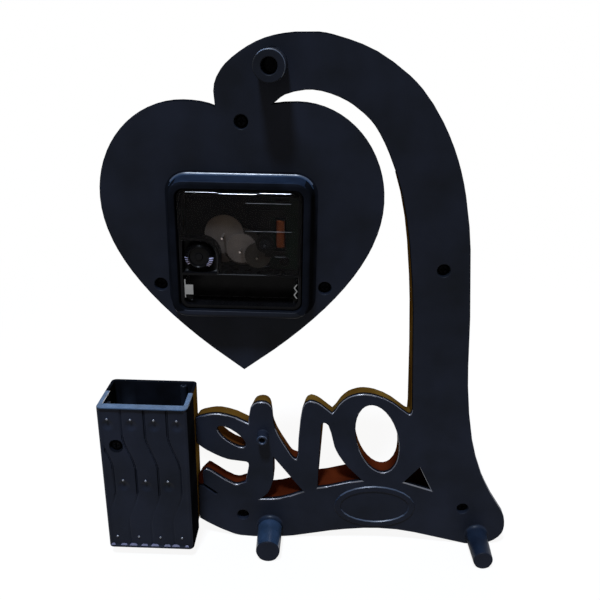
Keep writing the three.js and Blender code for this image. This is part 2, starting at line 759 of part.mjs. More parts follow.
function addHand(kind, material) {
  const mesh = place(movement, `${kind}_hand`, hand(hands[kind], handLayers[kind]), material);
  mesh.rotation.z = THREE.MathUtils.degToRad(hands[kind].angle);
}

function addDial() {
  const bossHole = boss.radius + fitGap;
  const glass = rod(0, 0, lens.radius, lens.front, lens.rear, roundSides);
  const disc = ring(bossHole, recessRadius - clearance, dialPlate.front, dialPlate.rear, roundSides);
  const nutHole = rod(0, 0, boss.radius + clearance, hexNut.front - past, hexNut.rear + past, tubeSides);
  const nut = rod(0, 0, hexNut.radius, hexNut.front, hexNut.rear, hexagon).subtract(nutHole);
  place(movement, 'bezel_ring', bezelRing(), materials.brownPlastic);
  place(movement, 'dial_lens', glass, materials.clearGlass);
  place(movement, 'dial', disc, materials.dialPaint);
  const cushion = ring(bossHole, washer.radius, washer.front, washer.rear, tubeSides);
  place(movement, 'rubber_washer', cushion, materials.rubber);
  place(movement, 'hex_nut', nut, materials.brass);
  addHand('hour', materials.handPaint);
  addHand('minute', materials.handPaint);
  addHand('second', materials.redPaint);
}

// Movement

const centreAt = new THREE.Vector2(0, 0);
const knobAt = new THREE.Vector2(Math.cos(knobAngle), Math.sin(knobAngle)).multiplyScalar(knobDistance);
const motionAt = knobAt.clone().setLength(motionDistance);
const rotorAt = new THREE.Vector2(Math.cos(rotorAngle), Math.sin(rotorAngle))
  .multiplyScalar(rotorDistance).add(intermediateAt);

// The pocket that the knob sits in, or its outside when a wall is given
function knobPocket(left, wall) {
  const { right, top, corner } = recess;
  const shape = new THREE.Shape();
  shape.moveTo(-left, bayTop);
  shape.lineTo(right + wall, bayTop);
  shape.absarc(right - corner, top - corner, corner + wall, 0, Math.PI / 2);
  shape.lineTo(-left, top + wall);
  return shape;
}

function movementCase() {
  const inside = caseSize - 2 * caseWall;
  const half = inside / 2 + fitGap / 2;
  const { floor, thickness } = recess;
  const sunk = caseFloor - fitGap;
  let shell = slab(roundedRectangle(caseSize, caseSize, caseCorner), caseFront, caseRear);
  shell = shell.subtract(slab(roundedRectangle(inside, inside, caseCorner - 1), caseFloor, caseRear + past));
  shell = shell.add(slab(knobPocket(half, thickness), floor, caseRear));
  shell = shell.subtract(slab(knobPocket(inside / 2, 0), floor + thickness, caseRear + past));
  shell = shell.add(box(-half, half, bayTop, bayTop + thickness, sunk, caseRear));
  shell = shell.subtract(rod(knobAt.x, knobAt.y, knobGrip.stem + clearance, floor - past, floor + 2 * past));
  shell = shell.add(rod(0, 0, boss.radius, boss.front, caseFront + fitGap, tubeSides));
  shell = shell.subtract(rod(0, 0, boss.bore, boss.front - past, caseFloor + past, boreSides));
  const pivotFloor = caseFloor - pivotSeat;
  shell = shell.subtract(rod(thirdAt.x, thirdAt.y, pivotHole, pivotFloor, caseFloor + past, pinSides));
  shell = shell.add(rod(motionAt.x, motionAt.y, motionPost.radius, sunk, motionPost.top, pinSides));
  for (const y of boardPosts.heights) {
    shell = shell.add(rod(boardPosts.x, y, boardPosts.radius, sunk, board.from - clearance, pinSides));
  }
  return shell;
}

function movementLid() {
  const half = caseSize / 2 - clearance;
  const low = bayTop + recess.thickness;
  const shape = new THREE.Shape();
  shape.moveTo(recess.right, low);
  shape.lineTo(half, low);
  shape.lineTo(half, half - caseCorner);
  shape.absarc(half - caseCorner, half - caseCorner, caseCorner, 0, Math.PI / 2);
  shape.absarc(caseCorner - half, half - caseCorner, caseCorner, Math.PI / 2, Math.PI);
  shape.lineTo(-half, recess.top);
  shape.absarc(recess.right - recess.corner, recess.top - recess.corner, recess.corner, Math.PI / 2, 0, true);
  for (const { x, y } of [thirdAt, intermediateAt, rotorAt, centreAt]) {
    const pivot = new THREE.Path();
    pivot.absarc(x, y, pivotHole, 0, 2 * Math.PI);
    shape.holes.push(pivot);
  }
  return slab(shape, lidFront, lidRear);
}

// A toothed disc of plain pointed teeth, drawn shallow so that meshed wheels keep clear of each other
function toothed(count, module, phase, [from, to]) {
  const pitch = count * module / 2;
  const points = [];
  for (let k = 0; k < 2 * count; k += 1) {
    const radius = k % 2 === 0 ? pitch + toothTip * module : pitch - toothRoot * module;
    const angle = phase + k * Math.PI / count;
    points.push(new THREE.Vector2(radius * Math.cos(angle), radius * Math.sin(angle)));
  }
  return slab(new THREE.Shape(points), from, to);
}

// Turns a wheel so that its gap meets a tooth of the wheel that it runs with
function meshPhase(count, here, otherCount, otherPhase, there) {
  const line = Math.atan2(here.y - there.y, here.x - there.x);
  const otherTurn = (line - otherPhase) * otherCount / (2 * Math.PI);
  return line + Math.PI - (0.5 - otherTurn) * 2 * Math.PI / count;
}

function pairModule(distance, first, second) {
  return 2 * distance / (first + second);
}

function axle(from) {
  return rod(0, 0, pivotRadius, from, pivotEnd, pinSides);
}

function addSettingTrain() {
  const fine = pairModule(motionDistance, teeth.cannon, teeth.motion);
  const coarse = pairModule(motionDistance, teeth.motionPinion, teeth.hour);
  const motionPhase = meshPhase(teeth.motion, motionAt, teeth.cannon, 0, centreAt);
  const pinionPhase = meshPhase(teeth.motionPinion, motionAt, teeth.hour, 0, centreAt);
  const knobPhase = meshPhase(teeth.knobPinion, knobAt, teeth.motion, motionPhase, motionAt);
  const [hourFront, hourRear] = layers.hour;
  const [motionFront, motionRear] = layers.motion;

  const cannonTube = tubes.cannon;
  let cannon = toothed(teeth.cannon, fine, 0, layers.motion);
  cannon = cannon.add(rod(0, 0, cannonTube.outer, cannonTube.front, cannonTube.rear));
  cannon = cannon.subtract(rod(0, 0, cannonTube.bore, cannonTube.front - past, cannonTube.rear + past));
  place(movement, 'cannon_pinion', cannon, materials.brass);

  let motion = toothed(teeth.motion, fine, motionPhase, layers.motion);
  motion = motion.add(toothed(teeth.motionPinion, coarse, pinionPhase, [hourFront, motionRear]));
  const postHole = motionPost.radius + clearance;
  motion = motion.subtract(rod(0, 0, postHole, hourFront - past, motionRear + past, pinSides));
  place(movement, 'motion_wheel', motion, materials.acetal, motionAt);

  const hourTube = tubes.hour;
  let hour = toothed(teeth.hour, coarse, 0, layers.hour);
  hour = hour.add(rod(0, 0, hourTube.outer, hourTube.front, hourRear));
  hour = hour.subtract(rod(0, 0, hourTube.bore, hourTube.front - past, hourRear + past));
  place(movement, 'hour_wheel', hour, materials.acetal);

  const { teeth: knurls, radius, from, to, dish, dishFloor, stem } = knobGrip;
  let knob = toothed(teeth.knobPinion, fine, knobPhase, layers.motion);
  knob = knob.add(rod(0, 0, stem, motionFront, from + clearance));
  knob = knob.add(toothed(knurls, 2 * radius / knurls, 0, [from, to]));
  knob = knob.subtract(rod(0, 0, dish, dishFloor, to + past, tubeSides));
  place(movement, 'setting_knob', knob, materials.blackPlastic, knobAt);
}

function addRunningTrain() {
  const thirdDistance = thirdAt.length();
  const minuteModule = pairModule(thirdDistance, teeth.minute, teeth.thirdPinion);
  const thirdModule = pairModule(thirdDistance, teeth.third, teeth.secondsPinion);
  const secondsModule = pairModule(intermediateAt.length(), teeth.seconds, teeth.intermediatePinion);
  const rotorModule = pairModule(rotorDistance, teeth.intermediate, teeth.rotorPinion);
  const thirdPhase = meshPhase(teeth.third, thirdAt, teeth.secondsPinion, 0, centreAt);
  const thirdPinionPhase = meshPhase(teeth.thirdPinion, thirdAt, teeth.minute, 0, centreAt);
  const pinionPhase = meshPhase(teeth.intermediatePinion, intermediateAt, teeth.seconds, 0, centreAt);
  const rotorPhase = meshPhase(teeth.rotorPinion, rotorAt, teeth.intermediate, 0, intermediateAt);
  const [minuteFront, minuteRear] = layers.minute;
  const [thirdFront, thirdRear] = layers.third;
  const [secondsFace, secondsRear] = layers.seconds;
  const [intermediateFront, intermediateRear] = layers.intermediate;

  let minute = toothed(teeth.minute, minuteModule, 0, layers.minute);
  minute = minute.subtract(rod(0, 0, tubes.cannon.outer + clearance, minuteFront - past, minuteRear + past));
  place(movement, 'minute_wheel', minute, materials.acetal);

  let third = toothed(teeth.third, thirdModule, thirdPhase, layers.third);
  third = third.add(toothed(teeth.thirdPinion, minuteModule, thirdPinionPhase, [minuteFront, thirdRear]));
  third = third.add(axle(caseFloor - pivotReach));
  place(movement, 'third_wheel', third, materials.acetal, thirdAt);

  let seconds = toothed(teeth.seconds, secondsModule, 0, layers.seconds);
  seconds = seconds.add(toothed(teeth.secondsPinion, thirdModule, 0, [thirdFront, secondsRear]));
  place(movement, 'seconds_wheel', seconds.add(axle(secondsFront)), materials.acetal);

  const pinionLayer = [secondsFace, intermediateRear];
  let intermediate = toothed(teeth.intermediate, rotorModule, 0, layers.intermediate);
  intermediate = intermediate.add(toothed(teeth.intermediatePinion, secondsModule, pinionPhase, pinionLayer));
  intermediate = intermediate.add(axle(secondsFace));
  place(movement, 'intermediate_wheel', intermediate, materials.acetal, intermediateAt);

  let rotor = toothed(teeth.rotorPinion, rotorModule, rotorPhase, [intermediateFront, layers.magnet[1]]);
  rotor = rotor.add(rod(0, 0, magnetRadius, ...layers.magnet, wellSides)).add(axle(intermediateFront));
  place(movement, 'rotor', rotor, materials.magnet, rotorAt);
}

// The stator's two arms reach from the rotor to the ends of the core that passes through the coil
function statorPlate() {
  const { x, y } = rotorAt;
  const { from, to, ring: outer, bore, arm, neck, reach, top, low } = stator;
  const far = coil.x + reach;
  let plate = rod(x, y, outer, from, to, pegSides);
  plate = plate.add(box(x - outer / 2, x + outer / 2, y, top, from, to));
  plate = plate.add(box(x - outer / 2, far, top - arm, top, from, to));
  plate = plate.add(box(x, x + neck, low, y, from, to));
  plate = plate.add(box(x, far, low, low + arm, from, to));
  return plate.subtract(rod(x, y, bore, from - past, to + past, tubeSides));
}

function addCoil() {
  const { x, z, bottom, top, core, tube, flange, sleeve } = coil;
  const across = (half, y0, y1, deep) => box(x - half, x + half, y0, y1, z - deep, z + deep);
  place(movement, 'stator_plate', statorPlate(), materials.steel);
  place(movement, 'coil_core', across(core.half, core.low, core.high, core.deep), materials.steel);
  let bobbin = across(tube.half, bottom, top, tube.deep);
  for (const end of [bottom, top - flange.thickness]) {
    bobbin = bobbin.add(across(flange.half, end, end + flange.thickness, flange.deep));
  }
  const slot = across(core.half + clearance, bottom - past, top + past, core.deep + clearance);
  place(movement, 'coil_bobbin', bobbin.subtract(slot), materials.blackPlastic);
  const outline = roundedRectangle(2 * sleeve.half, 2 * sleeve.deep, sleeve.corner);
  const wrap = extruded(outline, bottom + flange.thickness + clearance, top - flange.thickness - clearance);
  const hollow = across(tube.half + clearance, bottom, top, tube.deep + clearance);
  const winding = solidOf(wrap.rotateX(-Math.PI / 2).translate(x, 0, z)).subtract(hollow);
  place(movement, 'coil_winding', winding, materials.copper);
}

function addCircuit() {
  const { left, right, bottom, top, from, to } = board;
  place(movement, 'circuit_board', box(left, right, bottom, top, from, to), materials.board);
  const { x, y, radius, half } = crystal;
  const can = sideRod(x - half, x + half, y, to + clearance + radius, radius);
  place(movement, 'crystal_can', can, materials.steel);
  const blob = turned(chipProfile, plainSides);
  place(movement, 'chip_blob', blob, materials.rubber, { ...chipAt, z: to + clearance });
}

function addBatteryContacts() {
  const middle = (bayTop - caseSize / 2 + caseWall) / 2;
  const inner = caseSize / 2 - caseWall - clearance;
  const { thickness, below, above, front, rear, tabHalf, tabReach } = plateContact;
  const plate = box(-inner, thickness - inner, middle - below, middle + above, front, rear);
  const tab = box(-inner, tabReach - inner, middle - tabHalf, middle + tabHalf, rear - thickness, rear);
  place(movement, 'battery_contact_positive', plate.add(tab), materials.steel);
  const { pitch, swing, bends, strip, from, to } = springContact;
  const spring = [];
  for (let k = 0; k <= bends; k += 1) {
    const y = middle + pitch * (bends / 2 - k);
    spring.push(new THREE.Vector2(inner - (k % 2) * swing, y));
  }
  const back = spring.map(({ x, y }) => new THREE.Vector2(x - strip, y)).reverse();
  const zigzag = slab(new THREE.Shape([...spring, ...back]), from, to);
  place(movement, 'battery_contact_negative', zigzag, materials.steel);
}

place(clock, 'front_shell', frontShell(), materials.brownPlastic);
place(clock, 'rear_cover', rearCover(), materials.blackPlastic);
place(clock, 'pen_box_front', penBoxFront(), materials.brownPlastic);
place(clock, 'pen_box_rear', penBoxRear(), materials.blackPlastic);
addScrews();
addDial();
place(movement, 'movement_case', movementCase(), materials.casePlastic);
place(movement, 'movement_lid', movementLid(), materials.smokyLid);
addSettingTrain();
addRunningTrain();
addCoil();
addCircuit();
addBatteryContacts();

export default clock;
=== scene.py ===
import json
import math
import bmesh
import bpy
from mathutils import Matrix, Vector


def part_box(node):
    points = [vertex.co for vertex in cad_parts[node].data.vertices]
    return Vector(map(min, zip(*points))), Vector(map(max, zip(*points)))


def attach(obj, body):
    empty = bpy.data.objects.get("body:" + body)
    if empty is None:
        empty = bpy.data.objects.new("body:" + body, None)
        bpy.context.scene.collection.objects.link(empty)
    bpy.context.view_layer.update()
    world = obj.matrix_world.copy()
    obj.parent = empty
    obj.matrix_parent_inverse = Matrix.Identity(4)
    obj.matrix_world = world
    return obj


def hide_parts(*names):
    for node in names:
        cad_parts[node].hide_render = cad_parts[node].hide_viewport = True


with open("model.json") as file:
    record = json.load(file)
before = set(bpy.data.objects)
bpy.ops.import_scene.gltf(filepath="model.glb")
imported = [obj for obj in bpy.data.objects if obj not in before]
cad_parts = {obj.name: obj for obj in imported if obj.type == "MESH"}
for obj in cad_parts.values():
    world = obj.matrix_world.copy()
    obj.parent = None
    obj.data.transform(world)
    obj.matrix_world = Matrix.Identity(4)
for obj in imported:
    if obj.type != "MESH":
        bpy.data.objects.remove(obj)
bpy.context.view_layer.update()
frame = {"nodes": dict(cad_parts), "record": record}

scene = bpy.context.scene
millimetre = 0.001

# the clock was measured from behind: x to the right, y up, z towards the rear, z = 0 on the rear cover
middleX = 34.85
middleZ = 0.65
dialX, dialY = 0.0, 166.3


def seen(x, y, z):
    return Vector((middleX - x, z - middleZ, y)) * millimetre


def measured(point):
    # the way back: x, y and z in millimetres as measured from behind
    return middleX - point.x / millimetre, point.z / millimetre, point.y / millimetre + middleZ


def linear(hexColour):
    values = [int(hexColour[k:k + 2], 16) / 255 for k in (1, 3, 5)]
    return tuple(v / 12.92 if v < 0.04045 else ((v + 0.055) / 1.055) ** 2.4 for v in values) + (1.0,)


def addNode(tree, kind, settings=None, links=None):
    node = tree.nodes.new(kind)
    for key, value in (settings or {}).items():
        if isinstance(key, int) or key in node.inputs:
            node.inputs[key].default_value = value
        else:
            setattr(node, key, value)
    for socket, source in (links or {}).items():
        tree.links.new(source, node.inputs[socket])
    return node


def perMetre(featureMm):
    return 1000.0 / featureMm


def emptyMaterial(name):
    material = bpy.data.materials.new(name)
    material.use_nodes = True
    material.node_tree.nodes.clear()
    return material, material.node_tree


def shadeBetween(tree, amount, look, positions=(0.32, 0.68)):
    shade = addNode(tree, "ShaderNodeValToRGB", links={"Fac": amount})
    for element, position, tone in zip(shade.color_ramp.elements, positions, ("dark", "light")):
        element.position = position
        element.color = linear(look[tone])
    return shade.outputs["Color"]


def mouldedPlastic(name, look):
    # rough is (middle, spread); grain is (size in mm, strength, depth in mm); foot is a second shade low on the piece
    material, tree = emptyMaterial(name)
    roughness, spread = look["rough"]
    grainMm, grainStrength, grainDepthMm = look["grain"]
    place = addNode(tree, "ShaderNodeTexCoord").outputs["Object"]
    cloud = addNode(tree, "ShaderNodeTexNoise", {"Scale": perMetre(look["cloudMm"]), "Detail": 3.0}, {"Vector": place})
    colour = shadeBetween(tree, cloud.outputs["Fac"], look)
    if "foot" in look:
        foot = look["foot"]
        height = addNode(tree, "ShaderNodeSeparateXYZ", links={"Vector": place}).outputs["Z"]
        reach = {"From Min": foot["fromMm"] * millimetre, "From Max": foot["toMm"] * millimetre}
        rise = addNode(tree, "ShaderNodeMapRange", reach, {"Value": height}).outputs["Result"]
        footColour = shadeBetween(tree, cloud.outputs["Fac"], foot)
        colour = addNode(tree, "ShaderNodeMix", {"data_type": "RGBA"}, {0: rise, 6: footColour, 7: colour}).outputs[2]
    stretch = addNode(tree, "ShaderNodeMapping", {"Scale": (1.0, 1.0, 0.25)}, {"Vector": place})
    scuff = addNode(tree, "ShaderNodeTexNoise", {"Scale": perMetre(look["scuffMm"]), "Detail": 5.0, "Roughness": 0.65},
                    {"Vector": stretch.outputs["Vector"]})
    rough = addNode(tree, "ShaderNodeMapRange", {"From Min": 0.3, "From Max": 0.75, "To Min": roughness - spread,
                                                 "To Max": roughness + spread}, {"Value": scuff.outputs["Fac"]})
    grain = addNode(tree, "ShaderNodeTexNoise", {"Scale": perMetre(grainMm), "Detail": 2.0}, {"Vector": place})
    bump = addNode(tree, "ShaderNodeBump", {"Strength": grainStrength, "Distance": grainDepthMm * millimetre},
                   {"Height": grain.outputs["Fac"]})
    shader = addNode(tree, "ShaderNodeBsdfPrincipled",
                     {"IOR": look.get("ior", 1.52), "Specular IOR Level": look["specular"]},
                     {"Base Color": colour, "Roughness": rough.outputs["Result"], "Normal": bump.outputs["Normal"]})
    addNode(tree, "ShaderNodeOutputMaterial", links={"Surface": shader.outputs["BSDF"]})
    return material


def platedMetal(name, look):
    material, tree = emptyMaterial(name)
    place = addNode(tree, "ShaderNodeTexCoord").outputs["Object"]
    cloud = addNode(tree, "ShaderNodeTexNoise", {"Scale": perMetre(look["cloudMm"]), "Detail": 4.0}, {"Vector": place})
    colour = shadeBetween(tree, cloud.outputs["Fac"], look, (0.0, 1.0))
    rough = addNode(tree, "ShaderNodeMapRange", {"To Min": look["roughness"] * 0.7, "To Max": look["roughness"] * 1.3},
                    {"Value": cloud.outputs["Fac"]})
    stretch = addNode(tree, "ShaderNodeMapping", {"Scale": look.get("brush", (1.0, 1.0, 8.0))}, {"Vector": place})
    lines = addNode(tree, "ShaderNodeTexNoise", {"Scale": perMetre(look["brushMm"]), "Detail": 2.0},
                    {"Vector": stretch.outputs["Vector"]})
    bump = addNode(tree, "ShaderNodeBump", {"Strength": 0.25, "Distance": 0.02 * millimetre},
                   {"Height": lines.outputs["Fac"]})
    shader = addNode(tree, "ShaderNodeBsdfPrincipled", {"Metallic": 1.0},
                     {"Base Color": colour, "Roughness": rough.outputs["Result"], "Normal": bump.outputs["Normal"]})
    addNode(tree, "ShaderNodeOutputMaterial", links={"Surface": shader.outputs["BSDF"]})
    return material


def clearPlastic(name, look):
    material, tree = emptyMaterial(name)
    place = addNode(tree, "ShaderNodeTexCoord").outputs["Object"]
    haze = addNode(tree, "ShaderNodeTexNoise", {"Scale": perMetre(look["hazeMm"]), "Detail": 4.0}, {"Vector": place})
    rough = addNode(tree, "ShaderNodeMapRange", {"To Min": look["roughness"] * 0.5, "To Max": look["roughness"] * 1.6},
                    {"Value": haze.outputs["Fac"]})
    shader = addNode(tree, "ShaderNodeBsdfPrincipled",
                     {"Base Color": linear(look["tint"]), "IOR": look["ior"], "Alpha": look["alpha"],
                      "Specular IOR Level": look["specular"]}, {"Roughness": rough.outputs["Result"]})
    addNode(tree, "ShaderNodeOutputMaterial", links={"Surface": shader.outputs["BSDF"]})
    return material


finishes = {
    # black ABS from an etched mould: satin, blue-black, a fine spark grain that breaks up the shine
    "black_plastic": mouldedPlastic("abs_black_etched_moulded", {
        "dark": "#0f1218", "light": "#161a24", "cloudMm": 26.0, "rough": (0.42, 0.09), "scuffMm": 9.0,
        "grain": (0.55, 0.22, 0.05), "specular": 0.045,
        "foot": {"dark": "#12161e", "light": "#1a1f2b", "fromMm": 70.0, "toMm": 150.0}}),
    # brown ABS, the same mould texture: an even satin brown
    "brown_plastic": mouldedPlastic("abs_brown_satin_moulded", {
        "dark": "#44301b", "light": "#543e25", "cloudMm": 40.0, "rough": (0.42, 0.08), "scuffMm": 7.0,
        "grain": (0.55, 0.2, 0.05), "specular": 0.25}),
    # black polystyrene of the movement's case, smoother and more neutral than the cover
    "case_plastic": mouldedPlastic("polystyrene_black_polished_mould", {
        "dark": "#060607", "light": "#0b0b0d", "cloudMm": 14.0, "rough": (0.3, 0.08), "scuffMm": 5.0,
        "grain": (0.8, 0.08, 0.03), "specular": 0.05}),
    # smoky clear polystyrene: dark and glossy, the wheels show through it as grey discs
    "smoky_lid": clearPlastic("polystyrene_smoky_clear", {
        "tint": "#0c0b0b", "alpha": 0.42, "ior": 1.55, "roughness": 0.1, "hazeMm": 6.0, "specular": 0.05}),
    # clear acrylic of the lens: hardly seen but for its reflections
    "clear_lens": clearPlastic("acrylic_clear_polished", {
        "tint": "#eef3f5", "alpha": 0.1, "ior": 1.49, "roughness": 0.03, "hazeMm": 15.0, "specular": 0.5}),
    # printed card dial, matt and slightly warm
    "dial_paint": mouldedPlastic("card_printed_matt", {
        "dark": "#e9e4d4", "light": "#f2eee2", "cloudMm": 20.0, "rough": (0.75, 0.05), "scuffMm": 10.0,
        "grain": (0.5, 0.1, 0.03), "specular": 0.3}),
    # stamped aluminium hands with black stoving enamel: a soft shine
    "hand_paint": mouldedPlastic("aluminium_black_enamelled", {
        "dark": "#0b0b0d", "light": "#141417", "cloudMm": 10.0, "rough": (0.35, 0.06), "scuffMm": 4.0,
        "grain": (0.4, 0.05, 0.02), "specular": 0.3}),
    # the same in red
    "red_paint": mouldedPlastic("aluminium_red_enamelled", {
        "dark": "#9a1f1a", "light": "#b5281f", "cloudMm": 10.0, "rough": (0.35, 0.06), "scuffMm": 4.0,
        "grain": (0.4, 0.05, 0.02), "specular": 0.4}),
    # natural acetal wheels, waxy and off-white
    "acetal": mouldedPlastic("acetal_natural_moulded", {
        "dark": "#a0958d", "light": "#b6aaa0", "cloudMm": 8.0, "rough": (0.45, 0.05), "scuffMm": 4.0,
        "grain": (0.5, 0.05, 0.02), "specular": 0.3}),
    # nickel-plated spring steel of the contacts: light grey and softly bright
    "steel": platedMetal("steel_nickel_plated", {
        "dark": "#6b6c6d", "light": "#8b8b8b", "cloudMm": 5.0, "roughness": 0.36, "brushMm": 0.6}),
    # blackened steel screws, almost lost in their wells
    "dark_screw": platedMetal("steel_black_oxide", {
        "dark": "#040405", "light": "#09090b", "cloudMm": 2.0, "roughness": 0.6, "brushMm": 0.5}),
    # turned brass of the cannon pinion and nut: warm and bright
    "brass": platedMetal("brass_turned", {
        "dark": "#9a7a3c", "light": "#bf9a52", "cloudMm": 4.0, "roughness": 0.3, "brushMm": 0.4}),
    # enamelled copper wire: warm orange with a bright line along each turn
    "copper": platedMetal("copper_enamelled_wound", {
        "dark": "#6a2f19", "light": "#b0633a", "cloudMm": 3.0, "roughness": 0.24, "brushMm": 0.5,
        "brush": (0.1, 0.1, 1.0)}),
    # black nitrile washer and the chip's potting: dull and soft
    "rubber": mouldedPlastic("nitrile_black_moulded", {
        "dark": "#0b0b0b", "light": "#131313", "cloudMm": 6.0, "rough": (0.8, 0.08), "scuffMm": 3.0,
        "grain": (0.6, 0.2, 0.05), "specular": 0.1}),
    # glass-epoxy board under dark green solder mask
    "board": mouldedPlastic("epoxy_board_solder_mask", {
        "dark": "#0b1d12", "light": "#10291a", "cloudMm": 5.0, "rough": (0.35, 0.08), "scuffMm": 3.0,
        "grain": (0.7, 0.15, 0.04), "specular": 0.1}),
    # sintered ferrite rotor, dark grey and dull
    "magnet": platedMetal("ferrite_sintered", {
        "dark": "#2a2b2d", "light": "#3f4044", "cloudMm": 1.5, "roughness": 0.6, "brushMm": 0.4}),
}
# drawn walls of the brown shell, matt; olive as painted cool light, and red-brown towards the foot as painted shade
brownWallLitAndShaded = mouldedPlastic("abs_brown_matt_wall_painted_light_and_shade", {
    "dark": "#3f2a0c", "light": "#57431a", "cloudMm": 18.0, "rough": (0.5, 0.1), "scuffMm": 7.0,
    "grain": (0.55, 0.2, 0.05), "specular": 0.0,
    "foot": {"dark": "#2c0e05", "light": "#421a0a", "fromMm": 50.0, "toMm": 78.0}})
# sides of the brown half of the pen box, matt and olive: lighter than the brown, painted light on the sides
litBrownSide = mouldedPlastic("abs_brown_matt_side_painted_light", {
    "dark": "#4a3914", "light": "#5c4a20", "cloudMm": 18.0, "rough": (0.5, 0.1), "scuffMm": 7.0,
    "grain": (0.55, 0.2, 0.05), "specular": 0.0})
# upper edges of the letters and the foot, and the rear rivets: a lighter blue-black with a strong shine, a painted
# highlight that catches the light as thin pale lines
highlightEdge = mouldedPlastic("abs_black_painted_highlight_edge", {
    "dark": "#1a2334", "light": "#243048", "cloudMm": 4.0, "rough": (0.3, 0.1), "scuffMm": 2.0,
    "grain": (0.6, 0.2, 0.04), "specular": 0.9, "ior": 1.7})
# tops of the pegs, the post's end and faces turned up on the cover: smooth, steel-blue as a painted sky sheen where the
# sky falls on them
skySheenWall = mouldedPlastic("abs_black_painted_sky_sheen", {
    "dark": "#1a2a3e", "light": "#23354e", "cloudMm": 5.0, "rough": (0.34, 0.1), "scuffMm": 3.0,
    "grain": (0.7, 0.2, 0.04), "specular": 0.5})
# lip of the pen box: a steel-blue band, a painted sky sheen where the light from above falls on it
skySheenLip = mouldedPlastic("abs_black_painted_sky_sheen_lip", {
    "dark": "#1f344b", "light": "#294461", "cloudMm": 6.0, "rough": (0.42, 0.1), "scuffMm": 3.0,
    "grain": (0.7, 0.2, 0.04), "specular": 0.3})
# scooped ends of the planks, smooth: pale lavender against the black, a painted highlight
ledgeHighlight = mouldedPlastic("abs_black_painted_ledge_highlight", {
    "dark": "#393b56", "light": "#464865", "cloudMm": 3.0, "rough": (0.45, 0.08), "scuffMm": 2.0,
    "grain": (0.6, 0.15, 0.04), "specular": 0.2})
# walls of the rim round the movement, the second peg and the roots of the pegs: smooth, and a painted sky sheen darker
# than on the pegs
dimSkySheenWall = mouldedPlastic("abs_black_painted_dim_sky_sheen", {
    "dark": "#0f1725", "light": "#151f2f", "cloudMm": 6.0, "rough": (0.4, 0.08), "scuffMm": 4.0,
    "grain": (0.6, 0.2, 0.04), "specular": 0.1})
# cut sides and upper edges of the cover and the pen box: matt and a darker black, painted shade so that they stay black
# against the light; the black inside of the pen box's front half takes it too
shadedMattSide = mouldedPlastic("abs_black_matt_side_painted_shade", {
    "dark": "#0a0c10", "light": "#10131a", "cloudMm": 12.0, "rough": (0.7, 0.1), "scuffMm": 5.0,
    "grain": (0.5, 0.2, 0.05), "specular": 0.0})
# moulded edges of the movement's case and lid where they catch the light, and the lid's beads: glassy and a little
# lighter, a painted glint
glintEdge = mouldedPlastic("polystyrene_black_painted_glint_edge", {
    "dark": "#0a0a0c", "light": "#121216", "cloudMm": 4.0, "rough": (0.2, 0.06), "scuffMm": 2.0,
    "grain": (0.8, 0.05, 0.02), "specular": 0.6})
# crests of the knob's knurl left and right of the middle: pale lavender dashes, a painted reflection
knurlReflection = mouldedPlastic("polystyrene_painted_knurl_reflection", {
    "dark": "#b4baf0", "light": "#d6dbff", "cloudMm": 2.0, "rough": (0.35, 0.08), "scuffMm": 1.5,
    "grain": (0.5, 0.1, 0.02), "specular": 0.6})
# silicon steel of the stator, the coil's core and the crystal's can, oxidised dark: it hardly shows through the lid
oxidisedSteel = platedMetal("silicon_steel_oxidised", {
    "dark": "#1b1a19", "light": "#2b2927", "cloudMm": 3.0, "roughness": 0.5, "brushMm": 0.5})
# the wheels deepest in the movement: a darker grey, painted shade for their depth under the others
shadedAcetal = mouldedPlastic("acetal_grey_painted_shade", {
    "dark": "#4a443c", "light": "#59524a", "cloudMm": 6.0, "rough": (0.5, 0.06), "scuffMm": 4.0,
    "grain": (0.5, 0.05, 0.02), "specular": 0.2})
print("materials ready:", len(finishes))

slotOf = {part["node"]: part["material_slot"] for part in frame["record"]["subparts"]}
special = {"stator_plate": oxidisedSteel, "coil_core": oxidisedSteel, "crystal_can": oxidisedSteel,
           "intermediate_wheel": shadedAcetal, "minute_wheel": shadedAcetal}
for nodeName, nodeObject in frame["nodes"].items():
    nodeObject.data.materials.clear()
    nodeObject.data.materials.append(special.get(nodeName, finishes[slotOf[nodeName]]))


def addObject(name, data):
    added = bpy.data.objects.new(name, data)
    scene.collection.objects.link(added)
    return added


def addPiece(name, mesh, slotName, body="clock_body", replaced=(), extras=(), look=None):
    piece = addObject(name, mesh)
    mesh.materials.append(look or finishes[slotName])
    for extra in extras:
        mesh.materials.append(extra)
    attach(piece, body)
    if replaced:
        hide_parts(*replaced)
    return piece


def weightNormals(piece):
    weighted = piece.modifiers.new("even faces", "WEIGHTED_NORMAL")
    weighted.keep_sharp = True
    weighted.weight = 80


def asMesh(work, name, sharpDegrees):
    mesh = bpy.data.meshes.new(name)
    work.to_mesh(mesh)
    work.free()
    mesh.polygons.foreach_set("use_smooth", [True] * len(mesh.polygons))
    mesh.set_sharp_from_angle(angle=math.radians(sharpDegrees))
    return mesh


def finishWork(work, name, sharpDegrees=40.0):
    bmesh.ops.recalc_face_normals(work, faces=work.faces)
    return asMesh(work, name, sharpDegrees)


def joined(works, name, sharpDegrees=40.0):
    # several closed forms as one mesh
    whole = bmesh.new()
    for work in works:
        part = bpy.data.meshes.new("part")
        bmesh.ops.recalc_face_normals(work, faces=work.faces)
        work.to_mesh(part)
        work.free()
        whole.from_mesh(part)
        bpy.data.meshes.remove(part)
    return asMesh(whole, name, sharpDegrees)


